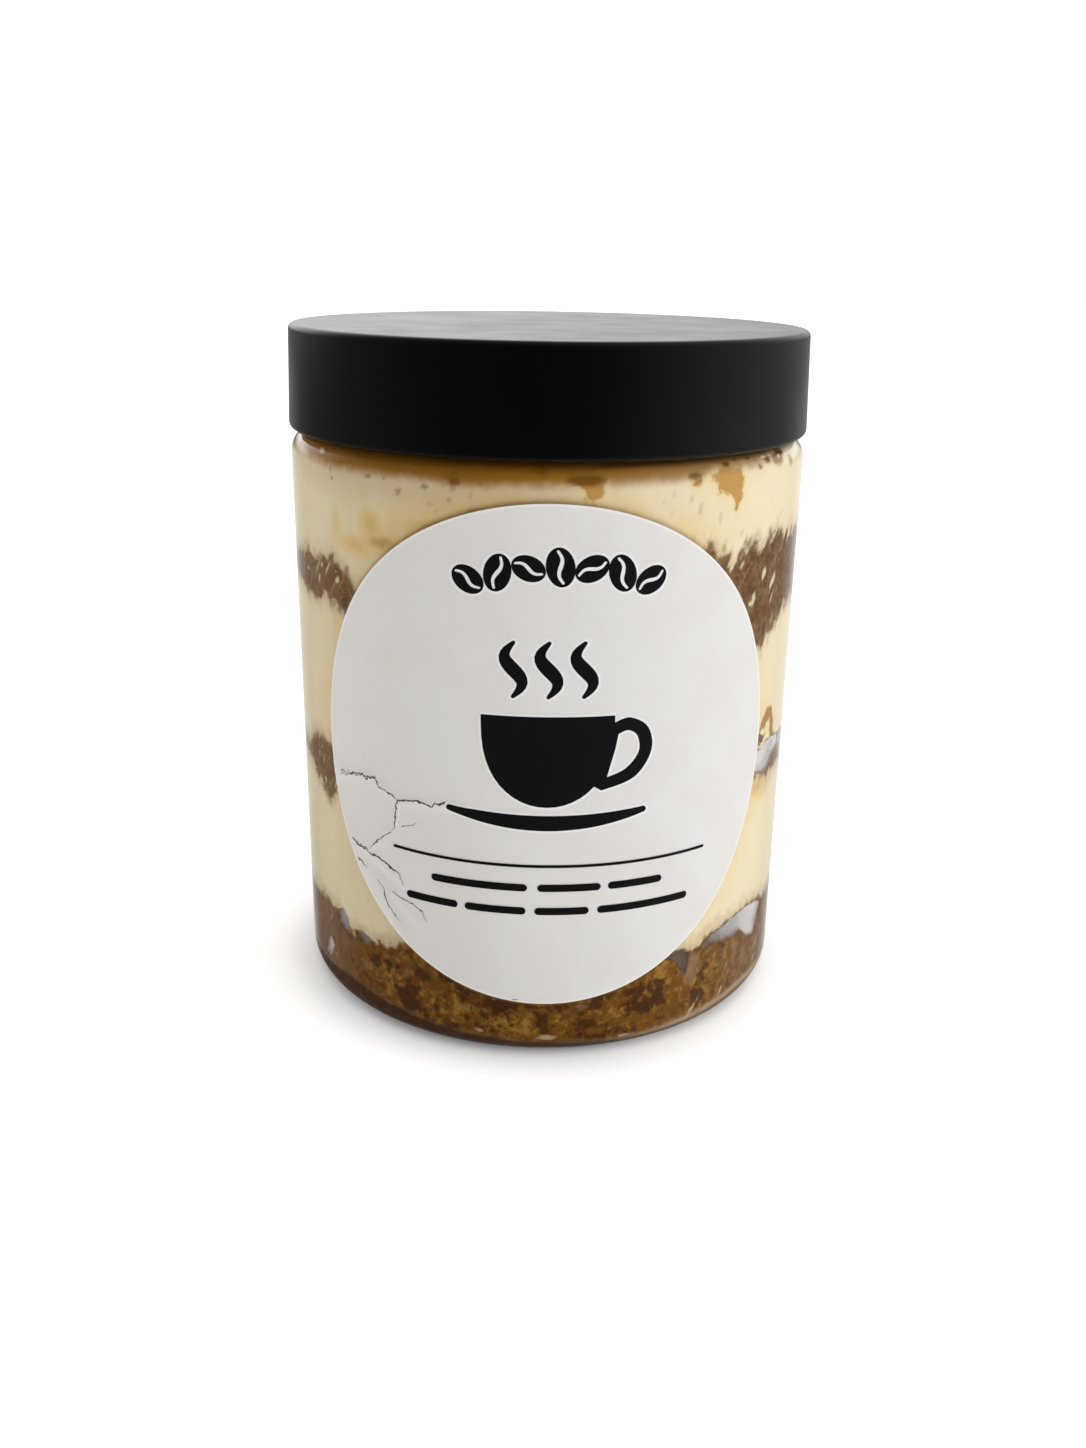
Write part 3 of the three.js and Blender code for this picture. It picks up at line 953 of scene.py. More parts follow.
# The same, for cream that shows as pale flecks in the sponge, and for a few painted glints of
# light under the lid; the last number is their lean
PALE_FLECKS = (
    (53.5, 76.7, 0.75, 1, 0.2),
    (57.6, 74.7, 0.55, 1.3, 0.6),
    (50, 73.3, 0.45, 1.2, 0.3),
    (48.7, 72.4, 0.7, 0.3, 0.6),
    (50.1, 80.2, 0.2, 0.5, 0.3),
    (41.7, 78.9, 0.4, 0.6, 0.3),
    (45.1, 79.2, 0.3, 0.6, 0.4),
    (-57.2, 74.2, 0.35, 1, 0.3),
    (-49.4, 75.2, 0.55, 0.55, 0.2),
    (-49.7, 76.4, 0.3, 0.25, 0),
    (-64.1, 74.9, 0.35, 0.5, 0.2),
    (-55.9, 76.6, 0.25, 0.3, 0),
    (-59.8, 45.4, 0.35, 0.5, 0),
    (-61.8, 43.6, 0.35, 0.5, -0.3),
    (-58.6, 39.7, 0.5, 0.9, -0.4),
    (-13.1, 4.9, 0.8, 0.25, -0.7),
    (1.6, 4.8, 1.5, 0.45, 0.2),
    (20, 4.4, 1.2, 0.3, 0.3),
    (37.3, 5.6, 0.35, 1.5, 0.9),
    (47, 6.3, 0.35, 0.9, 0.5),
    (63, 6.4, 0.3, 0.8, 0.5),
    # The next three are painted glints, not cream: pale marks where light catches the jar's shoulder
    # under the lid.
    (51.5, 94.6, 0.9, 0.2, 0.5),
    (54.6, 94.8, 0.7, 0.22, -0.6),
    (58.4, 94.3, 0.5, 0.25, 0.4),
    (48.4, 92.9, 0.2, 0.15, 0),
    (-56.2, 6.6, 0.18, 0.9, -0.5),
    # A painted glint of light on the jar's shoulder at the left.
    (-55.4, 94.2, 0.8, 0.3, -0.8),
)
# Soft clouds on the wall: (angle, height, half width in degrees, half height, strength)
CREAM_SMEARS = (
    (60, 41.4, 12, 2.2, 1.1),
    (-80, 44, 4, 8, 1.7),
    (-118, 44, 9, 2, 1.6),
    (124, 46, 10, 2, 1.4),
)
COFFEE_STAINS = (
    (-38, 85, 3.6, 3, 0.68),
    (-35, 82.6, 6, 1.5, 0.74),
    (-44, 81.4, 7, 1.6, 0.58),
    (-49, 84, 2.4, 3, 0.42),
    (-61, 87, 2.4, 5, 0.22),
    (-24.4, 85.6, 6, 2, 0.5),
    (-14.4, 88.8, 6, 1.4, 0.36),
    (-26, 88, 30, 7, 0.24),
    (-4, 89.4, 12, 1.6, 0.26),
    (-33, 62, 10, 14, 0.1),
    (40, 92, 8, 2, 0.2),
    (68, 86, 2.5, 6, 0.2),
    (57, 40, 8, 1.6, 0.5),
    (61, 38.4, 5, 1.4, 0.35),
    (-100, 86, 10, 3, 0.4),
    (170, 86, 14, 3, 0.4),
)
WET_PATCHES = (
    (18, 11, 12, 1.2, 0.35),
    (47, 13.4, 2, 1.6, 0.35),
    (44, 8.6, 3, 1.4, 0.3),
    (-31.7, 15, 2.5, 1.2, 0.6),
    (-50.4, 12.8, 2, 1, 0.6),
    (-30, 10, 3.5, 3, 0.45),
    (-25, 4.6, 14, 1.6, 0.5),
    (-15.6, 10.4, 4, 1.2, 0.5),
    (0, 9.4, 30, 1, 0.35),
    (14, 5.6, 10, 1.6, 0.5),
    (24, 8.4, 5, 2, 0.4),
    (9, 7.4, 9, 2.4, 0.24),
    (42, 9, 12, 5, 0.26),
    (52, 9.8, 4, 2.6, 0.5),
    (-56, 12, 5, 3, 0.25),
)
GOLDEN_CLOUDS = (
    (-36.5, 9, 4.5, 3, 0.45),
    (-23.5, 8, 3, 2, 0.5),
    (-17.5, 8.2, 3.4, 1.8, 0.6),
    (-4.5, 6.4, 5, 1.8, 0.6),
    (7, 8, 6, 1.6, 0.2),
    (16, 8.6, 5, 1.6, 0.16),
    (28.5, 12.8, 3, 2.4, 0.5),
    (38.7, 11, 5, 4, 0.3),
    (48, 10, 9, 4, 0.26),
    (54, 12.6, 2.4, 1.4, 0.4),
)
# Heights along the heel by angle, in mm: the painted sheen lies on this line, and a darker band below
# it.
HEEL_LINE = ((-110, 4.1), (-66, 3.8), (-48, 4.9), (-34, 4.4), (-24, 4), (0, 4), (20, 3.9),
             (37, 4.5), (50, 4.9), (66, 4.4), (110, 4.1))
# How far down the base's lowest features are drawn on the heel: (angle, mm). They are drawn down
# fully at the height PRESSED_FULLY and not at all from PRESSED_FROM up.
PRESSED_DOWN = ((-95, 0), (-60, -1.4), (-45, -0.9), (-30, 0), (-15, 0.9), (0, 1.5), (15, 1.9),
                (30, 2.1), (45, 2), (60, 1.1), (90, 0))
PRESSED_FROM = 14
PRESSED_FULLY = 1.6
LABEL_RIM = 0.95  # how wide a rim the label shades on the dessert beside it, in mm
OUTSIDE = -2.0  # the depth of a place that is well outside every outline, in mm
DEEP = 5  # the greatest depth in a layer, or outside it, that is told apart, in mm
ELLIPSE_REACH = 3  # how far from an ellipse's middle, in mm, it can still matter
FAR_OFF = 9  # how far out a place beyond that counts, where 1 is the ellipse's edge


def strongest(angle, z, features):
    """The largest share that any of the soft clouds has at a place on the wall."""
    return max(feature[4] * spot(angle, z, feature) for feature in features)


def box_round(outline):
    """The outline in mm along and up the wall, with the box that it matters in."""
    points = [(a * MM_PER_DEGREE, z) for a, z in outline]
    xs, zs = zip(*points)
    return points, min(xs) + OUTSIDE, max(xs) - OUTSIDE, min(zs) + OUTSIDE, max(zs) - OUTSIDE


def depth_in(x, z, boxed):
    """How deep, in mm, a place is inside an outline; negative outside it."""
    points, low_x, high_x, low_z, high_z = boxed
    if not (low_x < x < high_x and low_z < z < high_z):
        return OUTSIDE
    nearest, within = -OUTSIDE, False
    ax, az = points[-1]
    for bx, bz in points:
        dx, dz = bx - ax, bz - az
        share = ((x - ax) * dx + (z - az) * dz) / (dx * dx + dz * dz)
        share = min(1, max(0, share))
        nearest = min(nearest, math.hypot(x - ax - share * dx, z - az - share * dz))
        if (az > z) != (bz > z) and x < ax + (z - az) * dx / dz:
            within = not within
        ax, az = bx, bz
    return nearest if within else -nearest


def off_ellipse(x, z, feature, lean=0.0):
    """How far out from the middle of an ellipse a place is: 0 there, 1 on its edge."""
    across = x - feature[0] * MM_PER_DEGREE
    up = z - feature[1]
    if abs(across) > ELLIPSE_REACH or abs(up) > ELLIPSE_REACH:
        return FAR_OFF
    return math.hypot((across - lean * up) / feature[2], up / feature[3])


def strongest_ellipse(x, z, features, outer, inner):
    """The largest share that any of some soft ellipses has at a place."""
    return max(feature[4] * ease(outer, inner, off_ellipse(x, z, feature)) for feature in features)


def deepest(x, z, boxes):
    """The depth in the nearest of some outlines."""
    return max(depth_in(x, z, boxed) for boxed in boxes)


POCKET_BOXES = [box_round(outline) for shade, slope, outline in AIR_POCKETS]
DRIP_BOXES = [box_round(outline) for outline in DRIPS]
BLOT_BOXES = [box_round(outline) for outline in BLOTS]


def pocket_at(x, z):
    """The depth in the nearest air pocket, and that pocket's painted shade at the place, from dark shade
    to a pale painted reflection.
    """
    depths = [depth_in(x, z, boxed) for boxed in POCKET_BOXES]
    nearest = depths.index(max(depths))
    shade, slope, outline = AIR_POCKETS[nearest]
    middle = sum(point[0] for point in outline) / len(outline)
    return depths[nearest], shade + slope * (x / MM_PER_DEGREE - middle)


def label_distance(angle, z):
    """How far a place on the wall is outside the label's edge, in mm."""
    across = math.radians(turn_between(angle, LABEL_TURN)) * BODY_R / MM
    return math.hypot(across, z - LABEL_Z) - LABEL_R


def before_pressing(angle, z):
    """The height that a place near the heel had before the sponge was pressed down on it."""
    share = min(1, max(0, (PRESSED_FROM - z) / (PRESSED_FROM - PRESSED_FULLY)))
    return z + along(turn_between(angle, 0), PRESSED_DOWN) * share


class Place:
    """A place on the wall, at an angle and a height in mm, and what its looks are reckoned from."""

    def __init__(self, angle, z):
        self.angle = angle
        self.z = z
        self.signed = turn_between(angle, 0)
        self.side = self.signed * ease(150, 90, abs(self.signed))  # goes back to 0 at the back
        self.ragged = 0.3 * grain(angle, z, 2.2, 7)
        self.x = self.signed * MM_PER_DEGREE + 0.4 * self.ragged
        self.drawn = before_pressing(angle, z)
        self.rim = label_distance(angle, z)


def depth_fields(place, heights):
    """How deep a place is in the sponge and the cocoa, in mm; negative outside them."""
    z = place.z
    sponges = (
        heights["base_sponge"] - z,
        min(z - heights["lower_cream"], heights["middle_sponge"] - z),
        min(z - heights["middle_cream"], heights["top_sponge"] - z),
    )
    depths = (max(sponges) - strongest(place.angle, z, CREAM_SMEARS), z - heights["top_cream"])
    crumb, cocoa = (max(-DEEP, min(DEEP, depth)) for depth in depths)
    return {"crumb_depth": crumb, "cocoa_depth": cocoa}


def outlined_fields(place):
    """The pockets, drips, blots, specks and flecks at a place."""
    x, up = place.x, place.drawn + place.ragged
    pocket, shade = pocket_at(x, up)
    pale = [(1 - off_ellipse(x, place.drawn, fleck, fleck[4])) * min(fleck[2:4])
            for fleck in PALE_FLECKS]
    return {
        "pocket": pocket,
        "pocket_shade": shade + 0.12 * grain(place.angle, place.z, 2.5, 17),
        "drip": deepest(x, up, DRIP_BOXES),
        "blot": deepest(x, up, BLOT_BOXES),
        "speck": strongest_ellipse(x, place.drawn, SPECKS, 1.35, 0.75),
        "pale": max(pale),
    }


def cream_fields(place, heights):
    """Coffee in the cream, smoky cream under the cocoa, and the painted shade that the label casts on
    the cream beside it.
    """
    signed, side, rim = place.signed, place.side, place.rim
    below_cocoa = heights["top_cream"] - place.z
    smoky = 0.4 * ease(6, 0.8, below_cocoa) * ease(24, -6, side) * ease(100, 50, abs(signed))
    under_drip = ease(8, 16, signed) * ease(38, 26, signed) * ease(1.6, -0.4, below_cocoa)
    # Painted shade: within 8 mm of the label the cream is stained warmer, and in a narrow rim beside it
    # darker, where the label shades it.
    rim_shade = (0.4 + 0.2 * ease(0, -30, side)) * ease(LABEL_RIM, 0.1, rim)
    return {
        "stain_and_label_shade": strongest(place.angle, place.z, COFFEE_STAINS) + 0.2 * ease(8, 0, rim),
        "smoky": smoky + 0.75 * under_drip,
        "label_shade_rim": rim_shade * ease(-2, 0, rim),
        "dots": ease(82, 90, place.z),
        "milky": 0.32 * ease(0, 50, side),
        "dry": ease(3, 12, place.z),
    }


def sponge_fields(place):
    """How milky, wet, golden or soaked the sponge is at a place, with a darker band along the heel, a
    painted sheen on the heel's plastic, and painted shade beside the label.
    """
    angle, z, signed, side, drawn = place.angle, place.z, place.signed, place.side, place.drawn
    left_end = ease(-44, -60, signed) * ease(-112, -72, signed)
    right_end = ease(34, 60, signed) * ease(112, 72, signed)
    upper = max(ease(20, 34, z), 0.75 * left_end, 0.55 * right_end)
    milky = strongest_ellipse(place.x, drawn, MILKY_PATCHES, 1.3, 0.5)
    clouded = 0.35 * ease(62, 100, abs(signed)) * (1 + grain(angle, z, 7, 23))
    # Painted shade: the base sponge is darker within 2.4 mm of the label, which shades it.
    label_shade_on_sponge = 0.4 * ease(2.4, 0.2, place.rim) * ease(20, 14, z)
    right = ease(10, 36, side)
    heel = drawn - along(signed, HEEL_LINE)
    # A darker band below the heel line, darkest on the left and faint on the right.
    heel_dark_band = ease(0.5, -0.4, heel + place.ragged) * (0.97 - 0.67 * right)
    # Painted sheen: a pale line of light along the heel's plastic, strongest on the right.
    heel_width = 0.28 + 0.3 * right
    heel_sheen = (0.12 + 0.58 * right) * math.exp(-((heel / heel_width) ** 2))
    return {
        "upper": upper,
        "streaks": ease(50, 64, z) * (0.15 + 0.85 * ease(0, 40, side)),
        "film": max(0.14 * upper * ease(40, 0, side) + 0.36 * left_end, milky),
        "wet": strongest(angle, drawn, WET_PATCHES) + 0.6 * clouded + label_shade_on_sponge,
        "gold": strongest(angle, drawn, GOLDEN_CLOUDS) + clouded,
        "soaked": heel_dark_band + 0.16 * ease(50, 60, z) * ease(20, 45, side),
        "heel_sheen": heel_sheen * ease(78, 62, abs(signed)),
    }


def wall_fields(angle, z, heights):
    """What the dessert is like at a place on the wall, given the heights of the seams there."""
    place = Place(angle, z)
    fields = depth_fields(place, heights)
    fields.update(outlined_fields(place))
    fields.update(cream_fields(place, heights))
    fields.update(sponge_fields(place))
    return fields


STREAK_LEAN = 0.75  # degrees that streaks turn with each mm of height
STREAK_STRETCH = 0.35  # how much slower noise changes along a streak
FACE_SHARES = (0.25, 0.6, 0.88, 0.97)  # rings of points on a layer's hidden upper and lower face
FEWEST_ROWS = 6
DEEPEST_PORE = 0.3


def leaning_place(angle, z):
    """A place that turns with the height, so that noise there runs in leaning streaks."""
    return on_wall(angle - STREAK_LEAN * z, BODY_R, STREAK_STRETCH * z * MM)


def relief(angle, z, fields):
    """How far, in mm, the dessert's surface lies behind its place against the wall."""
    crumb = ease(-0.4, 0.6, fields["crumb_depth"])
    pores = max(0, grain(angle, z, 1.7, 11)) + 0.5 * max(0, grain(angle, z, 5, 3))
    pocket = ease(-0.1, 0.8, fields["pocket"])
    return min(DEEPEST_PORE, 0.5 * crumb * pores) + pocket


def dessert_radius(z, reach):
    """The radius of the dessert's surface at a height, inside heel, wall, shoulder and neck."""
    if z < HEEL_R:
        drop = HEEL_R - z
        return BODY_R - HEEL_R + math.sqrt((HEEL_IN_R + reach) ** 2 - drop ** 2)
    if z <= SHOULDER_Z:
        return BODY_IN_R + reach
    rise = z - SHOULDER_Z
    if rise >= SHOULDER_IN_R:
        return NECK_IN_R + reach
    curve = NECK_IN_R + math.sqrt((SHOULDER_IN_R + reach) ** 2 - rise ** 2)
    return max(NECK_IN_R + reach, curve)


def on_face(edge, centre_z, share):
    """A point of a layer's hidden face, a share of the way from its centre to its edge."""
    (x, y, z), fields = edge
    centre = centre_z * MM
    return (x * share, y * share, centre + (z - centre) * share ** 3), fields


def layer_column(angle, lower, upper, rows, reach):
    """The points of a layer at one angle, from its lower face up its side to its upper face."""
    heights = {key: height(angle) for key, height in SEAMS.items()}
    low, high = heights[lower], heights[upper]
    side = []
    for k in range(rows + 1):
        z = low + (high - low) * k / rows
        fields = wall_fields(angle, z, heights)
        radius = dessert_radius(z * MM, reach) - relief(angle, z, fields) * MM
        fields["leaning"] = leaning_place(angle, z)
        side.append((on_wall(angle, radius, z * MM), fields))
    under = [on_face(side[0], SEAM_MEANS[lower], share) for share in FACE_SHARES]
    over = [on_face(side[-1], SEAM_MEANS[upper], share) for share in reversed(FACE_SHARES)]
    return under + side + over


def layer_mesh(name, lower, upper, settings):
    """One layer of the dessert: a fine side against the wall, and plain faces inside."""
    columns = round(2 * math.pi * BODY_R / settings.spacing)
    depth = SEAMS[upper](0) - SEAMS[lower](0)
    rows = max(FEWEST_ROWS, round(depth * MM / settings.spacing))
    column = []
    for i in range(columns):
        column += layer_column(360 * i / columns, lower, upper, rows, settings.reach)
    stride = len(column) // columns
    bottom, top = len(column), len(column) + 1
    column.append(((0, 0, SEAM_MEANS[lower] * MM), column[0][1]))
    column.append(((0, 0, SEAM_MEANS[upper] * MM), column[stride - 1][1]))
    faces = []
    for here in range(0, bottom, stride):
        beside = (here + stride) % bottom
        faces.append((bottom, beside, here))
        faces.append((top, here + stride - 1, beside + stride - 1))
        for k in range(stride - 1):
            faces.append((here + k, beside + k, beside + k + 1, here + k + 1))
    mesh = bpy.data.meshes.new(name)
    mesh.from_pydata([point for point, fields in column], [], faces)
    for key in column[0][1]:
        values = [fields[key] for point, fields in column]
        if key == "leaning":
            field = mesh.attributes.new(key, "FLOAT_VECTOR", "POINT")
            field.data.foreach_set("vector", [part for value in values for part in value])
        else:
            carry(mesh, key, values)
    smooth(mesh, sharp_angle=60)
    return mesh


# The label, in mm across and up from its middle

LABEL_GAP = 0.1
LABEL_THICK = 0.16
PAPER_R = BODY_R / MM + LABEL_GAP + LABEL_THICK
LABEL_RINGS = 100
LABEL_SECTORS = 400
FOLD_LIFT = 0.16
PAPER_WAVE = 0.012
INK_LIFT = 0.03
PRINT_STRIP = 1.2  # the print is cut into strips this wide, so that it follows the jar
CRACK_STEP = 0.3

# Cracks in the paper's coating: how wide each is, and its points.
CRACKS = (
    (0.3, ((-28.6, -5.5), (-27.9, -6.5), (-26.3, -6.9), (-25.1, -7.2), (-24.3, -7.8))),
    (0.42, ((-24.3, -7.8), (-23.4, -7.7), (-21.3, -7.2), (-19.7, -7.2), (-18.2, -7.6),
            (-17.4, -7.1), (-16.8, -6.9), (-15.8, -6.6), (-14.8, -7.1), (-13.5, -7),
            (-12.5, -6.5), (-11.6, -6.8), (-10.3, -7), (-7.4, -7.9))),
    (0.3, ((-24.3, -7.8), (-24.6, -9.8), (-24.9, -12.7), (-25.6, -13.6))),
    (0.2, ((-25.6, -13.6), (-26.8, -14.4), (-28.3, -15.7), (-29.7, -17), (-30.6, -18.3))),
    (0.42, ((-34.6, -17.2), (-33, -18.1), (-31.2, -18.1), (-30.3, -18.7), (-29.7, -18.9),
            (-29.2, -18.6), (-27.5, -19.1), (-25.6, -20), (-24.3, -20.5), (-23.8, -21.3),
            (-23.3, -22.5))),
    (0.34, ((-33.5, -20.5), (-32.4, -20.9), (-31.2, -21.5))),
    (0.2, ((-28.9, -22.9), (-27.5, -23.8), (-26.9, -26.2), (-25.7, -27.6), (-24, -29.2))),
    (0.22, ((-25.6, -24), (-25, -24.3), (-23.1, -24.9), (-22, -25.1), (-20.1, -26.1),
            (-19.1, -27.9))),
    (0.16, ((-27.4, -24.6), (-27, -26), (-26.1, -27.2))),
    (0.16, ((-23.6, -12.2), (-22, -11.6), (-20.6, -11))),
    (0.22, ((-5, -39.3), (-4.3, -39.4), (-3.9, -39.6))),
)
# Painted highlights beside the cracks: pale strips where the coating has lifted and catches the light.
BRIGHT_CREASES = (
    (0.5, ((-23.8, -8.5), (-24, -10.1), (-24.7, -12.6))),
    (0.22, ((-32.6, -18.5), (-31, -18.6), (-29.8, -19.3))),
    (0.2, ((-21.3, -7.5), (-19.6, -7.6), (-18.2, -8))),
)
CHAFED = ((-37.4, -6.3), (-35.2, -6.2), (-33.2, -5.7), (-31.5, -5.4), (-28.6, -5.3))
CHAFE_CHIPS = 70
CHIP_CORNERS = 5
# Where the paper stands off the jar in a soft fold: its points, and its half width.
SOFT_FOLDS = (
    (((-31, -22), (-27.5, -25), (-24, -30)), 1.2),
    (((-29, -22.5), (-24.8, -24.6), (-20.5, -28.5)), 1.1),
    (((-24.3, -8), (-24.8, -12.5), (-28, -15.6), (-30.6, -18)), 0.9),
    (((-38.5, -6), (-29, -5.4), (-24.3, -7.8), (-12.4, -6.8)), 0.8),
    (((-34.6, -17.2), (-29.5, -18.8), (-23.5, -22)), 0.8),
)


def label_point(across, up, lift, settings):
    """A place on the label, wrapped on the jar, lifted off the paper by some mm."""
    angle = math.degrees(settings.turn + across * MM / BODY_R)
    return on_wall(angle, (PAPER_R + lift) * MM, (LABEL_Z + up) * MM)


def distance_to_line(across, up, points):
    """How far a place on the label is from a line through some points."""
    nearest = 1e9
    place = Vector((across, up))
    for start, end in zip(points, points[1:]):
        a, b = Vector(start), Vector(end)
        share = max(0, min(1, (place - a).dot(b - a) / (b - a).length_squared))
        nearest = min(nearest, (place - a.lerp(b, share)).length)
    return nearest


def paper_lift(across, up):
    """How far the paper stands off the jar where it is folded or cracked, in mm."""
    lift = 0
    for points, width in SOFT_FOLDS:
        off = distance_to_line(across, up, points) / width
        lift = max(lift, FOLD_LIFT * math.exp(-off * off))
    return lift + PAPER_WAVE * noise.noise(Vector((across / 6, up / 6, 4)))


def label_sheet(bm, base, settings):
    """One face of the label: rings of points round its middle. Only the outer face is folded."""
    middle = bm.verts.new(label_point(0, 0, base, settings))
    rings = []
    for ring in range(1, LABEL_RINGS + 1):
        radius = LABEL_R * ring / LABEL_RINGS
        row = []
        for i in range(LABEL_SECTORS):
            a = 2 * math.pi * i / LABEL_SECTORS
            across, up = radius * math.cos(a), radius * math.sin(a)
            lift = paper_lift(across, up) if base == 0 else 0
            row.append(bm.verts.new(label_point(across, up, base + lift, settings)))
        rings.append(row)
    for i in range(LABEL_SECTORS):
        bm.faces.new((middle, rings[0][i], rings[0][(i + 1) % LABEL_SECTORS]))
    for inner, outer in zip(rings, rings[1:]):
        band(bm, inner, outer)
    return rings[-1]


def band(bm, inner, outer):
    """Faces between two rings of points."""
    for i in range(LABEL_SECTORS):
        j = (i + 1) % LABEL_SECTORS
        bm.faces.new((inner[i], outer[i], outer[j], inner[j]))


def label_mesh(settings):
    """The paper disc, wrapped on the jar, with its folds."""
    bm = bmesh.new()
    rims = [label_sheet(bm, base, settings) for base in (0, -LABEL_THICK)]
    band(bm, *rims)
    bmesh.ops.recalc_face_normals(bm, faces=bm.faces)
    mesh = finished(bm, "label_sheet")
    smooth(mesh)
    from_edge = [LABEL_R]
    for ring in range(1, LABEL_RINGS + 1):
        from_edge += [LABEL_R * (1 - ring / LABEL_RINGS)] * LABEL_SECTORS
    carry(mesh, "edge", from_edge + [0.0] * len(from_edge))
    return mesh


def cracked_line(bm, points, width, seed, settings):
    """Add a thin ragged strip along some points on the label."""
    line = []
    for start, end in zip(points, points[1:]):
        a, b = Vector(start), Vector(end)
        steps = max(2, round((b - a).length / CRACK_STEP))
        line += [a.lerp(b, i / steps) for i in range(steps)]
    line.append(Vector(points[-1]))
    previous = None
    for i, place in enumerate(line):
        ahead = line[min(i + 1, len(line) - 1)] - line[max(i - 1, 0)]
        side = Vector((-ahead.y, ahead.x)).normalized()
        jitter = 0.3 * noise.noise(Vector((i / 2.2, seed * 9, 0)))
        thin = 0.35 + 1.5 * abs(noise.noise(Vector((i / 3, seed * 5, 3))))
        taper = min(1, 3 * (len(line) - 1 - i) / len(line) + 0.15)
        half = width / 1.5 * thin * taper
        pair = [crack_vert(bm, place + side * (jitter + sign * half), settings) for sign in (-1, 1)]
        if previous:
            bm.faces.new((previous[0], pair[0], pair[1], previous[1]))
        previous = pair


def crack_vert(bm, at, settings):
    """A point of a crack, just off the paper."""
    lift = paper_lift(at[0], at[1]) + INK_LIFT / 2
    return bm.verts.new(label_point(at[0], at[1], lift, settings))


def chips(bm, chafed, settings):
    """Small chips where the label's coating is chafed."""
    for i in range(CHAFE_CHIPS):
        share = (i + 0.5) / CHAFE_CHIPS
        x = chafed[0][0] + (chafed[-1][0] - chafed[0][0]) * share ** 1.15
        y = along(x, chafed) + 0.75 * noise.noise(Vector((i * 3.7, 1, 2))) * (1.6 - share)
        size = 0.16 + 0.5 * abs(noise.noise(Vector((i * 2.3, 5, 6))))
        corners = []
        for k in range(CHIP_CORNERS):
            a = 2 * math.pi * k / CHIP_CORNERS + i
            stretch = size * (0.5 + 0.5 * noise.noise(Vector((i * 1.9, k * 2.3, 1))))
            at = (x + 1.5 * stretch * math.cos(a), y + 0.8 * stretch * math.sin(a))
            corners.append(crack_vert(bm, at, settings))
        bm.faces.new(corners)


def crack_mesh(name, lines, settings, chafed=()):
    """Thin ragged strips along some lines, and small chips where the coating is chafed."""
    bm = bmesh.new()
    for number, (width, points) in enumerate(lines):
        cracked_line(bm, points, width, number, settings)
    if chafed:
        chips(bm, chafed, settings)
    return finished(bm, name)


# The printed design: each shape is an outline in mm on the label and then its holes

def leaned(x, y, across, up, lean):
    """The place that is across and up from the middle of a leaning shape."""
    return (x + across * math.cos(lean) - up * math.sin(lean),
            y + across * math.sin(lean) + up * math.cos(lean))


def ellipse(x, y, half_width, half_height, lean, steps=40):
    """The outline of a leaning ellipse."""
    turns = [2 * math.pi * i / steps for i in range(steps)]
    return [leaned(x, y, half_width * math.cos(a), half_height * math.sin(a), lean) for a in turns]


def round_end(centre, start, half):
    """The round end of a stroke, clockwise from a point on its edge."""
    first = math.atan2(start[1] - centre[1], start[0] - centre[0])
    turns = [first - math.pi * k / 8 for k in range(1, 8)]
    return [(centre[0] + half * math.cos(t), centre[1] + half * math.sin(t)) for t in turns]


def stroke(centre_line, half_widths):
    """The outline of a line with a changing width and round ends."""
    left, right = [], []
    count = len(centre_line)
    for i, (x, y) in enumerate(centre_line):
        ahead = Vector(centre_line[min(i + 1, count - 1)]) - Vector(centre_line[max(i - 1, 0)])
        side = Vector((-ahead.y, ahead.x)).normalized() * half_widths[i]
        left.append((x + side.x, y + side.y))
        right.append((x - side.x, y - side.y))
    end = round_end(centre_line[-1], left[-1], half_widths[-1])
    start = round_end(centre_line[0], right[0], half_widths[0])
    return left + end + right[::-1] + start


def bean(x, y, size, lean):
    """A coffee bean: an ellipse with an S-shaped slit left open."""
    body = ellipse(x, y, 0.36 * size, 0.5 * size, lean)
    slit, widths = [], []
    for share in shares(12):
        t = 2 * share - 1
        slit.append(leaned(x, y, 0.07 * size * math.sin(math.pi * t), 0.4 * size * t, lean))
        widths.append((0.035 + 0.02 * (1 - abs(t))) * size)
    return [body, stroke(slit, widths)]


# The beans' lengths, and how far each is turned from the line of the row.
BEAN_TUMBLE = ((5.2, 38), (5.6, -25), (5.1, 62), (5.8, 10), (5.2, -58), (5.6, 30), (5.2, -36))


def bean_arc():
    """A loose row of beans in a shallow arc near the label's top."""
    shapes = []
    arc_radius, middle, top = 41, 1.4, 31
    for i, (size, tumble) in enumerate(BEAN_TUMBLE):
        lean = math.radians(19 * (1 - i / 3))
        x = middle - arc_radius * math.sin(lean)
        y = top - arc_radius * (1 - math.cos(lean))
        shapes.append(bean(x, y, size, lean + math.radians(tumble)))
    return shapes


def cup():
    """A steaming cup on its saucer."""
    bowl = [(-10, 8.5)]
    for i in range(19):
        a = math.pi * i / 24
        bowl.append((-10 * math.cos(a), 7.6 - 13.6 * math.sin(a) ** 0.8))
    handle = smooth_line(((8.2, -3.4), (13.4, -1.6), (16, 2.4), (15.3, 6.2), (12.4, 8), (10, 7.4)))
    gap = smooth_line(((9, -1.3), (11.9, -0.1), (13.9, 2.4), (13.6, 5), (12.1, 6), (10.6, 5.5)))
    gap += [(10.2, 3.2), (9.6, 1)]
    saucer = stroke([(-15 + 30 * t, -8.6 + 1.5 * (2 * t - 1) ** 2) for t in shares(24)],
                    [0.5 + 0.75 * (1 - (2 * t - 1) ** 2) for t in shares(24)])
    shapes = [[bowl + handle + [(10, 8.5)], gap], [saucer]]
    for x in (-5.2, 0, 5.2):
        wave = [(x + 1.3 * math.sin(2 * math.pi * t), 11.6 + 8.2 * t) for t in shares(16)]
        widths = [0.3 + 0.75 * math.sin(math.pi * t) for t in shares(16)]
        shapes.append([stroke(wave, widths)])
    return shapes


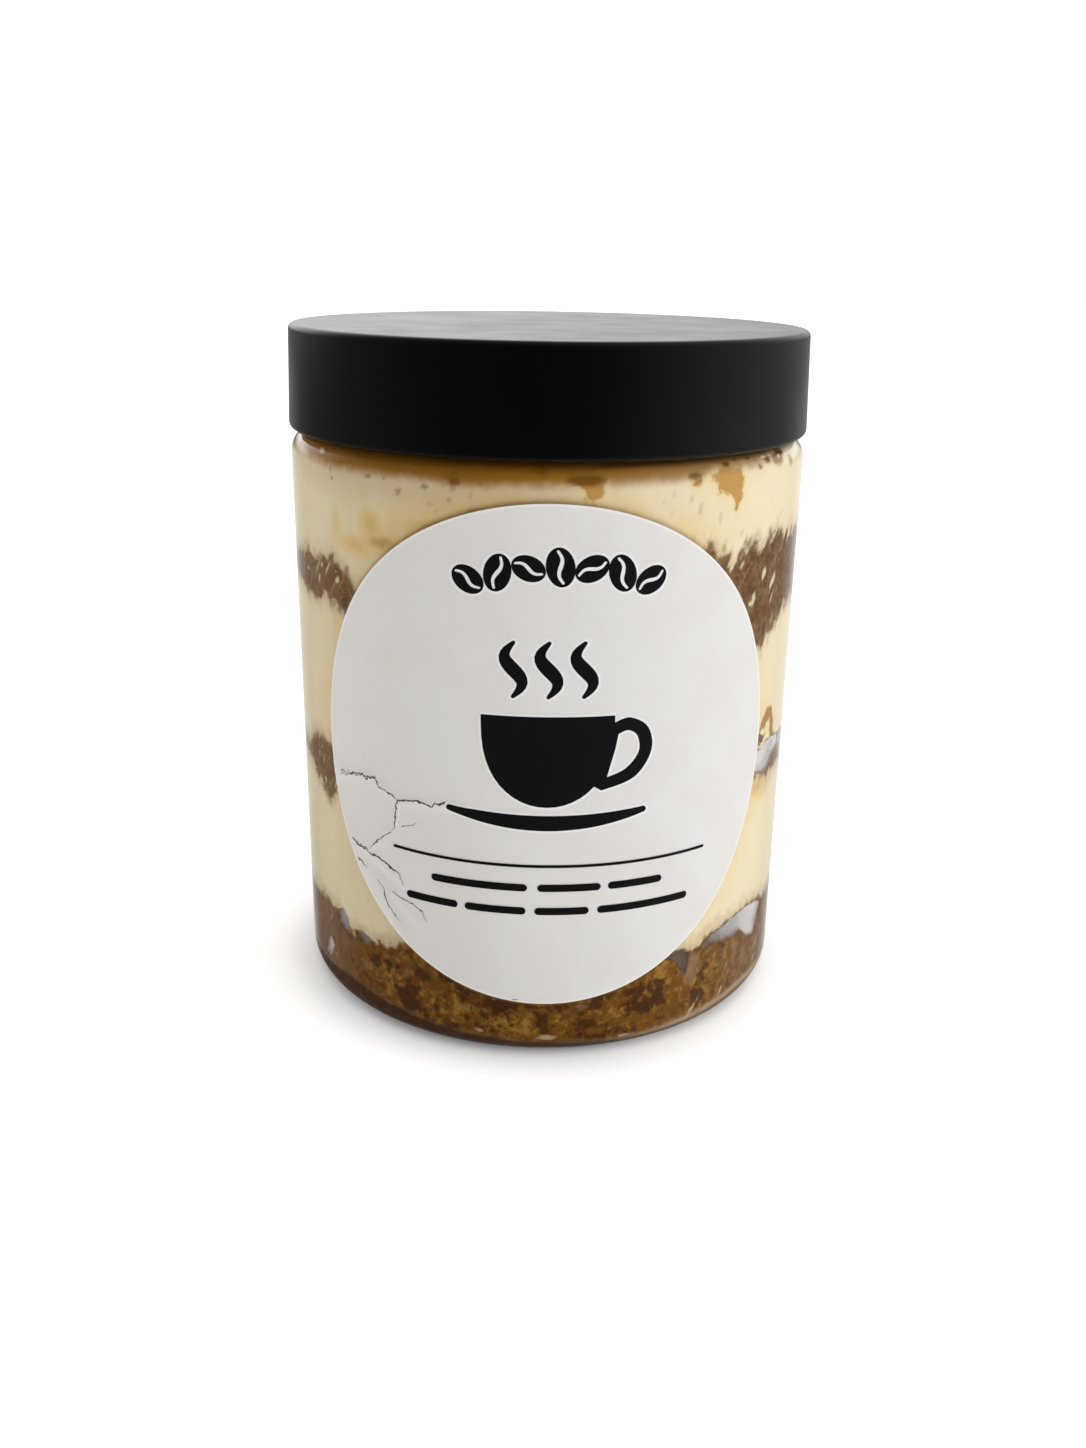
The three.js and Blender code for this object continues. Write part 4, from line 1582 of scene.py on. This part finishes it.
def smooth_line(points, steps=6):
    """Points along a smooth curve through some points."""
    line = []
    padded = [points[0], *points, points[-1]]
    for i in range(1, len(padded) - 2):
        p0, p1, p2, p3 = (Vector(padded[i + k]) for k in (-1, 0, 1, 2))
        for k in range(steps):
            t = k / steps
            place = 0.5 * (2 * p1 + (p2 - p0) * t + (2 * p0 - 5 * p1 + 4 * p2 - p3) * t * t
                           + (3 * p1 - p0 - 3 * p2 + p3) * t ** 3)
            line.append(tuple(place))
    line.append(points[-1])
    return line


def bar(start, end, y, half_width, steps):
    """A level bar with round ends."""
    line = [(start + (end - start) * share, y) for share in shares(steps)]
    return [stroke(line, [half_width] * len(line))]


def bars():
    """A thin rule, and under it two rows of short bars."""
    shapes = [bar(-25, 26.6, -15.8, 0.24, 20)]
    rows = ((-19.5, ((-17.6, -3.4), (-0.6, 8), (10.4, 18.2))),
            (-23.5, ((-22.2, -14.4), (-12, -3.6), (-1, 6.2), (8.8, 23.2))))
    for y, spans in rows:
        shapes += [bar(start, end, y, 0.62, 6) for start, end in spans]
    return shapes


HALO = 0.4
SMALL_HOLE = 30  # twice the area of the largest hole that the halo closes, in square mm


def doubled_area(outline):
    """Twice the area in an outline, negative where it runs clockwise."""
    return sum(a[0] * b[1] - b[0] * a[1] for a, b in zip(outline, outline[1:] + outline[:1]))


def halo_round(shape):
    """A shape with a rim round it, and with its holes narrowed, or closed if they are small."""
    holes = [grown(hole, -HALO) for hole in shape[1:] if abs(doubled_area(hole)) > SMALL_HOLE]
    return [grown(shape[0], HALO), *holes]


def grown(outline, by):
    """The outline moved outwards by some mm."""
    sign = 1 if doubled_area(outline) > 0 else -1
    moved = []
    count = len(outline)
    for i, (x, y) in enumerate(outline):
        ahead = Vector(outline[(i + 1) % count]) - Vector(outline[i - 1])
        side = Vector((ahead.y, -ahead.x)).normalized() * by * sign
        moved.append((x + side.x, y + side.y))
    return moved


def filled(shape):
    """A flat mesh that fills a shape's outline, with its holes left open."""
    drawing = bpy.data.curves.new("drawing", "CURVE")
    drawing.dimensions = "2D"
    drawing.fill_mode = "BOTH"
    for outline in shape:
        spline = drawing.splines.new("POLY")
        spline.points.add(len(outline) - 1)
        for point, (x, y) in zip(spline.points, outline):
            point.co = (x, y, 0, 1)
        spline.use_cyclic_u = True
    holder = bpy.data.objects.new("drawing", drawing)
    flat = bpy.data.meshes.new_from_object(holder)
    bpy.data.objects.remove(holder)
    bpy.data.curves.remove(drawing)
    return flat


def print_mesh(name, shapes, lift, settings):
    """Flat shapes, filled, cut into narrow strips and wrapped on the label."""
    bm = bmesh.new()
    for shape in shapes:
        flat = filled(shape)
        bm.from_mesh(flat)
        bpy.data.meshes.remove(flat)
    cut = -LABEL_R
    while cut < LABEL_R:
        bmesh.ops.bisect_plane(
            bm,
            geom=[*bm.verts, *bm.edges, *bm.faces],
            plane_co=(cut, 0, 0),
            plane_no=(1, 0, 0),
        )
        cut += PRINT_STRIP
    for vert in bm.verts:
        height = lift + paper_lift(vert.co.x, vert.co.y)
        vert.co = label_point(vert.co.x, vert.co.y, height, settings)
    bmesh.ops.recalc_face_normals(bm, faces=bm.faces)
    return finished(bm, name)


# Operators

WHITE = (1, 1, 1)
SQUARE = ((-1, -1), (1, -1), (1, 1), (-1, 1))
FLOOR_REACH = 3


class TIRAMISU_OT_stage(bpy.types.Operator):
    """Build the floor, the lights and the camera"""

    bl_idname = "tiramisu.stage"
    bl_label = "Stage"

    def execute(self, context):
        settings = context.scene.tiramisu.stage
        self.floor(settings)
        self.world(context.scene, settings)
        self.lights(context.scene, settings)
        self.camera(context.scene, settings)
        return {"FINISHED"}

    def floor(self, settings):
        mesh = bpy.data.meshes.new("studio_floor")
        corners = [(x * FLOOR_REACH, y * FLOOR_REACH, 0) for x, y in SQUARE]
        mesh.from_pydata(corners, [], [(0, 1, 2, 3)])
        mesh.materials.append(floor_finish(settings))
        floor = bpy.data.objects.new("studio_floor", mesh)
        bpy.context.scene.collection.objects.link(floor)
        floor.visible_glossy = False

    def world(self, scene, settings):
        """White paper all round, which gives most of its light from behind the jar.

        The black lid mirrors it, so on the camera's side the paper is dark in reflections. Its
        light is warmer on the left, but what mirrors it outright stays untinted.
        """
        world = bpy.data.worlds.new("studio")
        world.use_nodes = True
        scene.world = world
        studio = Nodes(world.node_tree)
        ray = studio.node("ShaderNodeLightPath").outputs
        split = studio.node("ShaderNodeSeparateXYZ")
        studio.feed(split.inputs[0], studio.node("ShaderNodeTexCoord").outputs["Generated"])
        x, y, z = split.outputs

        def ramp(axis, near, far, dark, light):
            return studio.spread(axis, near, far, dark, light, "LINEAR")

        soft = ramp(y, -0.8, 0.8, settings.front_glow, settings.back_glow)
        sides = ramp(x, -0.5, 0.5, settings.left_mirror, settings.right_mirror)
        sides = studio.times(sides, ramp(y, -0.98, -0.2, 0.02, 1))
        behind = studio.times(ramp(y, 0.3, 0.9, 0, settings.back_mirror), ramp(z, 0, 0.15, 0, 1))
        behind = studio.times(behind, ramp(x, -0.3, 0.3, 1.35, 0.72))
        grazed = studio.times(ramp(y, 0.7, 0.9, 0, 0.55), ramp(z, 0, -0.1, 0, 1))
        mirrored = studio.plus(studio.plus(sides, behind), grazed)
        strength = studio.choose(ray["Is Glossy Ray"], soft, mirrored)
        strength = studio.choose(ray["Is Transmission Ray"], strength, soft)
        strength = studio.choose(ray["Is Camera Ray"], strength, 1)
        warmth = studio.mix(ramp(x, -0.7, 0.7, 0, 1), settings.left_warmth, settings.right_warmth)
        direct = studio.reckon("SUBTRACT", 1, ray["Is Transmission Ray"])
        untinted = studio.times(ray["Is Glossy Ray"], direct)
        untinted = studio.reckon("MAXIMUM", untinted, ray["Is Camera Ray"])
        paper = studio.node("ShaderNodeBackground")
        studio.feed(paper.inputs["Color"], studio.mix(untinted, warmth, (1, 1, 1)))
        studio.feed(paper.inputs["Strength"], strength)
        output = studio.node("ShaderNodeOutputWorld")
        studio.feed(output.inputs["Surface"], paper.outputs["Background"])

    def lights(self, scene, settings):
        """Three wide soft lights: a key at the right, one overhead and a rim light."""
        key_colour = settings.key_colour
        rig = (
            ("key_light", settings.key_aim, settings.key_spread, settings.key_power, key_colour),
            ("top_light", settings.top_aim, settings.top_spread, settings.top_power, WHITE),
            ("rim_light", settings.rim_aim, settings.rim_spread, settings.rim_power, WHITE),
        )
        for name, aim, spread, power, colour in rig:
            lamp = bpy.data.lights.new(name, "SUN")
            lamp.angle = spread
            lamp.energy = power
            lamp.color = colour
            light = bpy.data.objects.new(name, lamp)
            light.location = aim
            light.rotation_euler = Vector(aim).to_track_quat("Z", "Y").to_euler()
            light.visible_glossy = False
            scene.collection.objects.link(light)

    def camera(self, scene, settings):
        lens = bpy.data.cameras.new("camera")
        lens.lens = settings.focal_length
        camera = bpy.data.objects.new("camera", lens)
        tilt = Matrix.Rotation(math.pi / 2 - settings.camera_pitch, 4, "X")
        roll = Matrix.Rotation(settings.camera_roll, 4, "Z")
        camera.matrix_world = Matrix.Translation(settings.camera_place) @ tilt @ roll
        scene.collection.objects.link(camera)
        scene.camera = camera
        scene.view_settings.view_transform = "Standard"


class TIRAMISU_OT_jar(bpy.types.Operator):
    """Build the clear jar with its screw neck"""

    bl_idname = "tiramisu.jar"
    bl_label = "Jar"

    def execute(self, context):
        settings = context.scene.tiramisu.jar
        heel_r = BODY_R - HEEL_R
        ring_r = heel_r - STANDING_RING_WIDTH
        neck_top = JAR_HIGH[2]
        base = [(0, BASE_PANEL_Z), (ring_r - DISH_SLOPE, BASE_PANEL_Z), (ring_r, 0)]
        base += arc(heel_r, HEEL_R, HEEL_R, -90, 0, HEEL_STEPS)
        base += arc(NECK_R, SHOULDER_Z, SHOULDER_R, 0, 90, INSIDE_STEPS)
        step = (neck_top - SHOULDER_TOP_Z) / THREAD_ROWS
        neck = [(NECK_R, SHOULDER_TOP_Z + step * i) for i in range(1, THREAD_ROWS + 1)]
        inside = [(NECK_IN_R, neck_top)]
        inside += arc(NECK_IN_R, SHOULDER_Z, SHOULDER_IN_R, 90, 0, INSIDE_STEPS)
        inside += arc(BODY_IN_R - HEEL_IN_R, HEEL_IN_Z, HEEL_IN_R, 0, -90, INSIDE_STEPS)
        inside.append((0, FLOOR_Z))
        threaded = range(len(base), len(base) + len(neck))

        def thread(angle, row, z):
            return thread_height(angle, z, JAR_THREAD_Z) if row in threaded else 0

        mesh = turned("clear_jar", base + neck + inside, settings.sides, thread)
        jar = add_piece("clear_jar", mesh, clear_plastic(settings), "jar")
        jar.visible_shadow = False
        return {"FINISHED"}


class TIRAMISU_OT_lid(bpy.types.Operator):
    """Build the black screw lid"""

    bl_idname = "tiramisu.lid"
    bl_label = "Lid"

    def execute(self, context):
        settings = context.scene.tiramisu
        low, high = LID_LOW[2], LID_HIGH[2]
        under = high - LID_WALL
        foot = low + LID_LIP_R
        step = (under - foot) / THREAD_ROWS
        inside = [(0, under)]
        inside += [(LID_IN_R, under - step * i) for i in range(THREAD_ROWS)]
        foot_edge = (LID_FOOT_R - LID_EDGE_R, low + LID_EDGE_R)
        top_edge = (LID_TOP_R - LID_EDGE_R, high - LID_EDGE_R)
        outside = arc(LID_IN_R + LID_LIP_R, foot, LID_LIP_R, 180, 270, LIP_STEPS)
        outside += arc(*foot_edge, LID_EDGE_R, 270, 360, EDGE_STEPS)
        outside += arc(*top_edge, LID_EDGE_R, 0, 90, EDGE_STEPS)
        outside.append((0, high))
        threaded = range(1, len(inside))
        start = JAR_THREAD_Z - THREAD_PITCH / 2

        def thread(angle, row, z):
            return -thread_height(angle, z, start) if row in threaded else 0

        mesh = turned("screw_lid", inside + outside, settings.jar.sides, thread)
        add_piece("screw_lid", mesh, satin_plastic(settings.lid), "lid")
        return {"FINISHED"}


class TIRAMISU_OT_label(bpy.types.Operator):
    """Build the round paper label with its folds and cracks"""

    bl_idname = "tiramisu.label"
    bl_label = "Label"

    def execute(self, context):
        settings = context.scene.tiramisu.label
        paper = label_paper(settings)
        add_piece("label_sheet", label_mesh(settings), paper, "label")
        crack = plain_print("cracked coating", settings.crack, 0.7)
        dark = crack_mesh("label_cracks", CRACKS, settings, CHAFED)
        add_piece("label_cracks", dark, crack)
        # Painted highlights beside the cracks, in the keyline's white.
        lifted = plain_print("painted crease highlight", settings.keyline, 0.4)
        light = crack_mesh("label_crease_highlights", BRIGHT_CREASES, settings)
        add_piece("label_crease_highlights", light, lifted)
        return {"FINISHED"}


class TIRAMISU_OT_print(bpy.types.Operator):
    """Print a plain design on the label: beans, a cup, a rule and bars"""

    bl_idname = "tiramisu.print"
    bl_label = "Label print"

    def execute(self, context):
        settings = context.scene.tiramisu.label
        design = bean_arc() + cup()
        halo = [halo_round(shape) for shape in design]
        white = plain_print("white keyline", settings.keyline, 0.5)
        black = plain_print("black print", settings.ink, 0.42)
        lower = print_mesh("label_keyline", halo, INK_LIFT, settings)
        add_piece("label_keyline", lower, white)
        upper = print_mesh("label_print", design + bars(), 2 * INK_LIFT, settings)
        add_piece("label_print", upper, black)
        return {"FINISHED"}


class TIRAMISU_OT_dessert(bpy.types.Operator):
    """Build the layers of sponge, cream and cocoa"""

    bl_idname = "tiramisu.dessert"
    bl_label = "Dessert"

    def execute(self, context):
        settings = context.scene.tiramisu.dessert
        finishes = {
            "sponge": dessert("soaked sponge", settings),
            "cream": dessert("mascarpone cream", settings),
            "cocoa": dessert("damp cocoa", settings),
        }
        for name, node, slot, lower, upper in LAYERS:
            mesh = layer_mesh(name, lower, upper, settings)
            add_piece(name, mesh, finishes[slot], node)
        return {"FINISHED"}


class TIRAMISU_PT_panel(bpy.types.Panel):
    """Lists the steps that build the jar of tiramisu"""

    bl_idname = "TIRAMISU_PT_panel"
    bl_label = "Tiramisu Jar"
    bl_space_type = "VIEW_3D"
    bl_region_type = "UI"
    bl_category = "Tiramisu"

    def draw(self, context):
        for step in STEPS:
            self.layout.operator(step.bl_idname)


STEPS = (
    TIRAMISU_OT_stage,
    TIRAMISU_OT_dessert,
    TIRAMISU_OT_jar,
    TIRAMISU_OT_lid,
    TIRAMISU_OT_label,
    TIRAMISU_OT_print,
)
GROUPS = (
    JarSettings,
    LidSettings,
    LabelSettings,
    DessertSettings,
    StageSettings,
    TiramisuSettings,
)


def register():
    for cls in (*GROUPS, *STEPS, TIRAMISU_PT_panel):
        bpy.utils.register_class(cls)
    bpy.types.Scene.tiramisu = bpy.props.PointerProperty(
        name="Tiramisu",
        description="Settings of the jar of tiramisu",
        type=TiramisuSettings,
    )


def unregister():
    del bpy.types.Scene.tiramisu
    for cls in reversed((*GROUPS, *STEPS, TIRAMISU_PT_panel)):
        bpy.utils.unregister_class(cls)


def main():
    """Build everything."""
    register()
    bpy.ops.tiramisu.stage()
    bpy.ops.tiramisu.dessert()
    bpy.ops.tiramisu.jar()
    bpy.ops.tiramisu.lid()
    bpy.ops.tiramisu.label()
    bpy.ops.tiramisu.print()


if __name__ == "__main__":
    main()
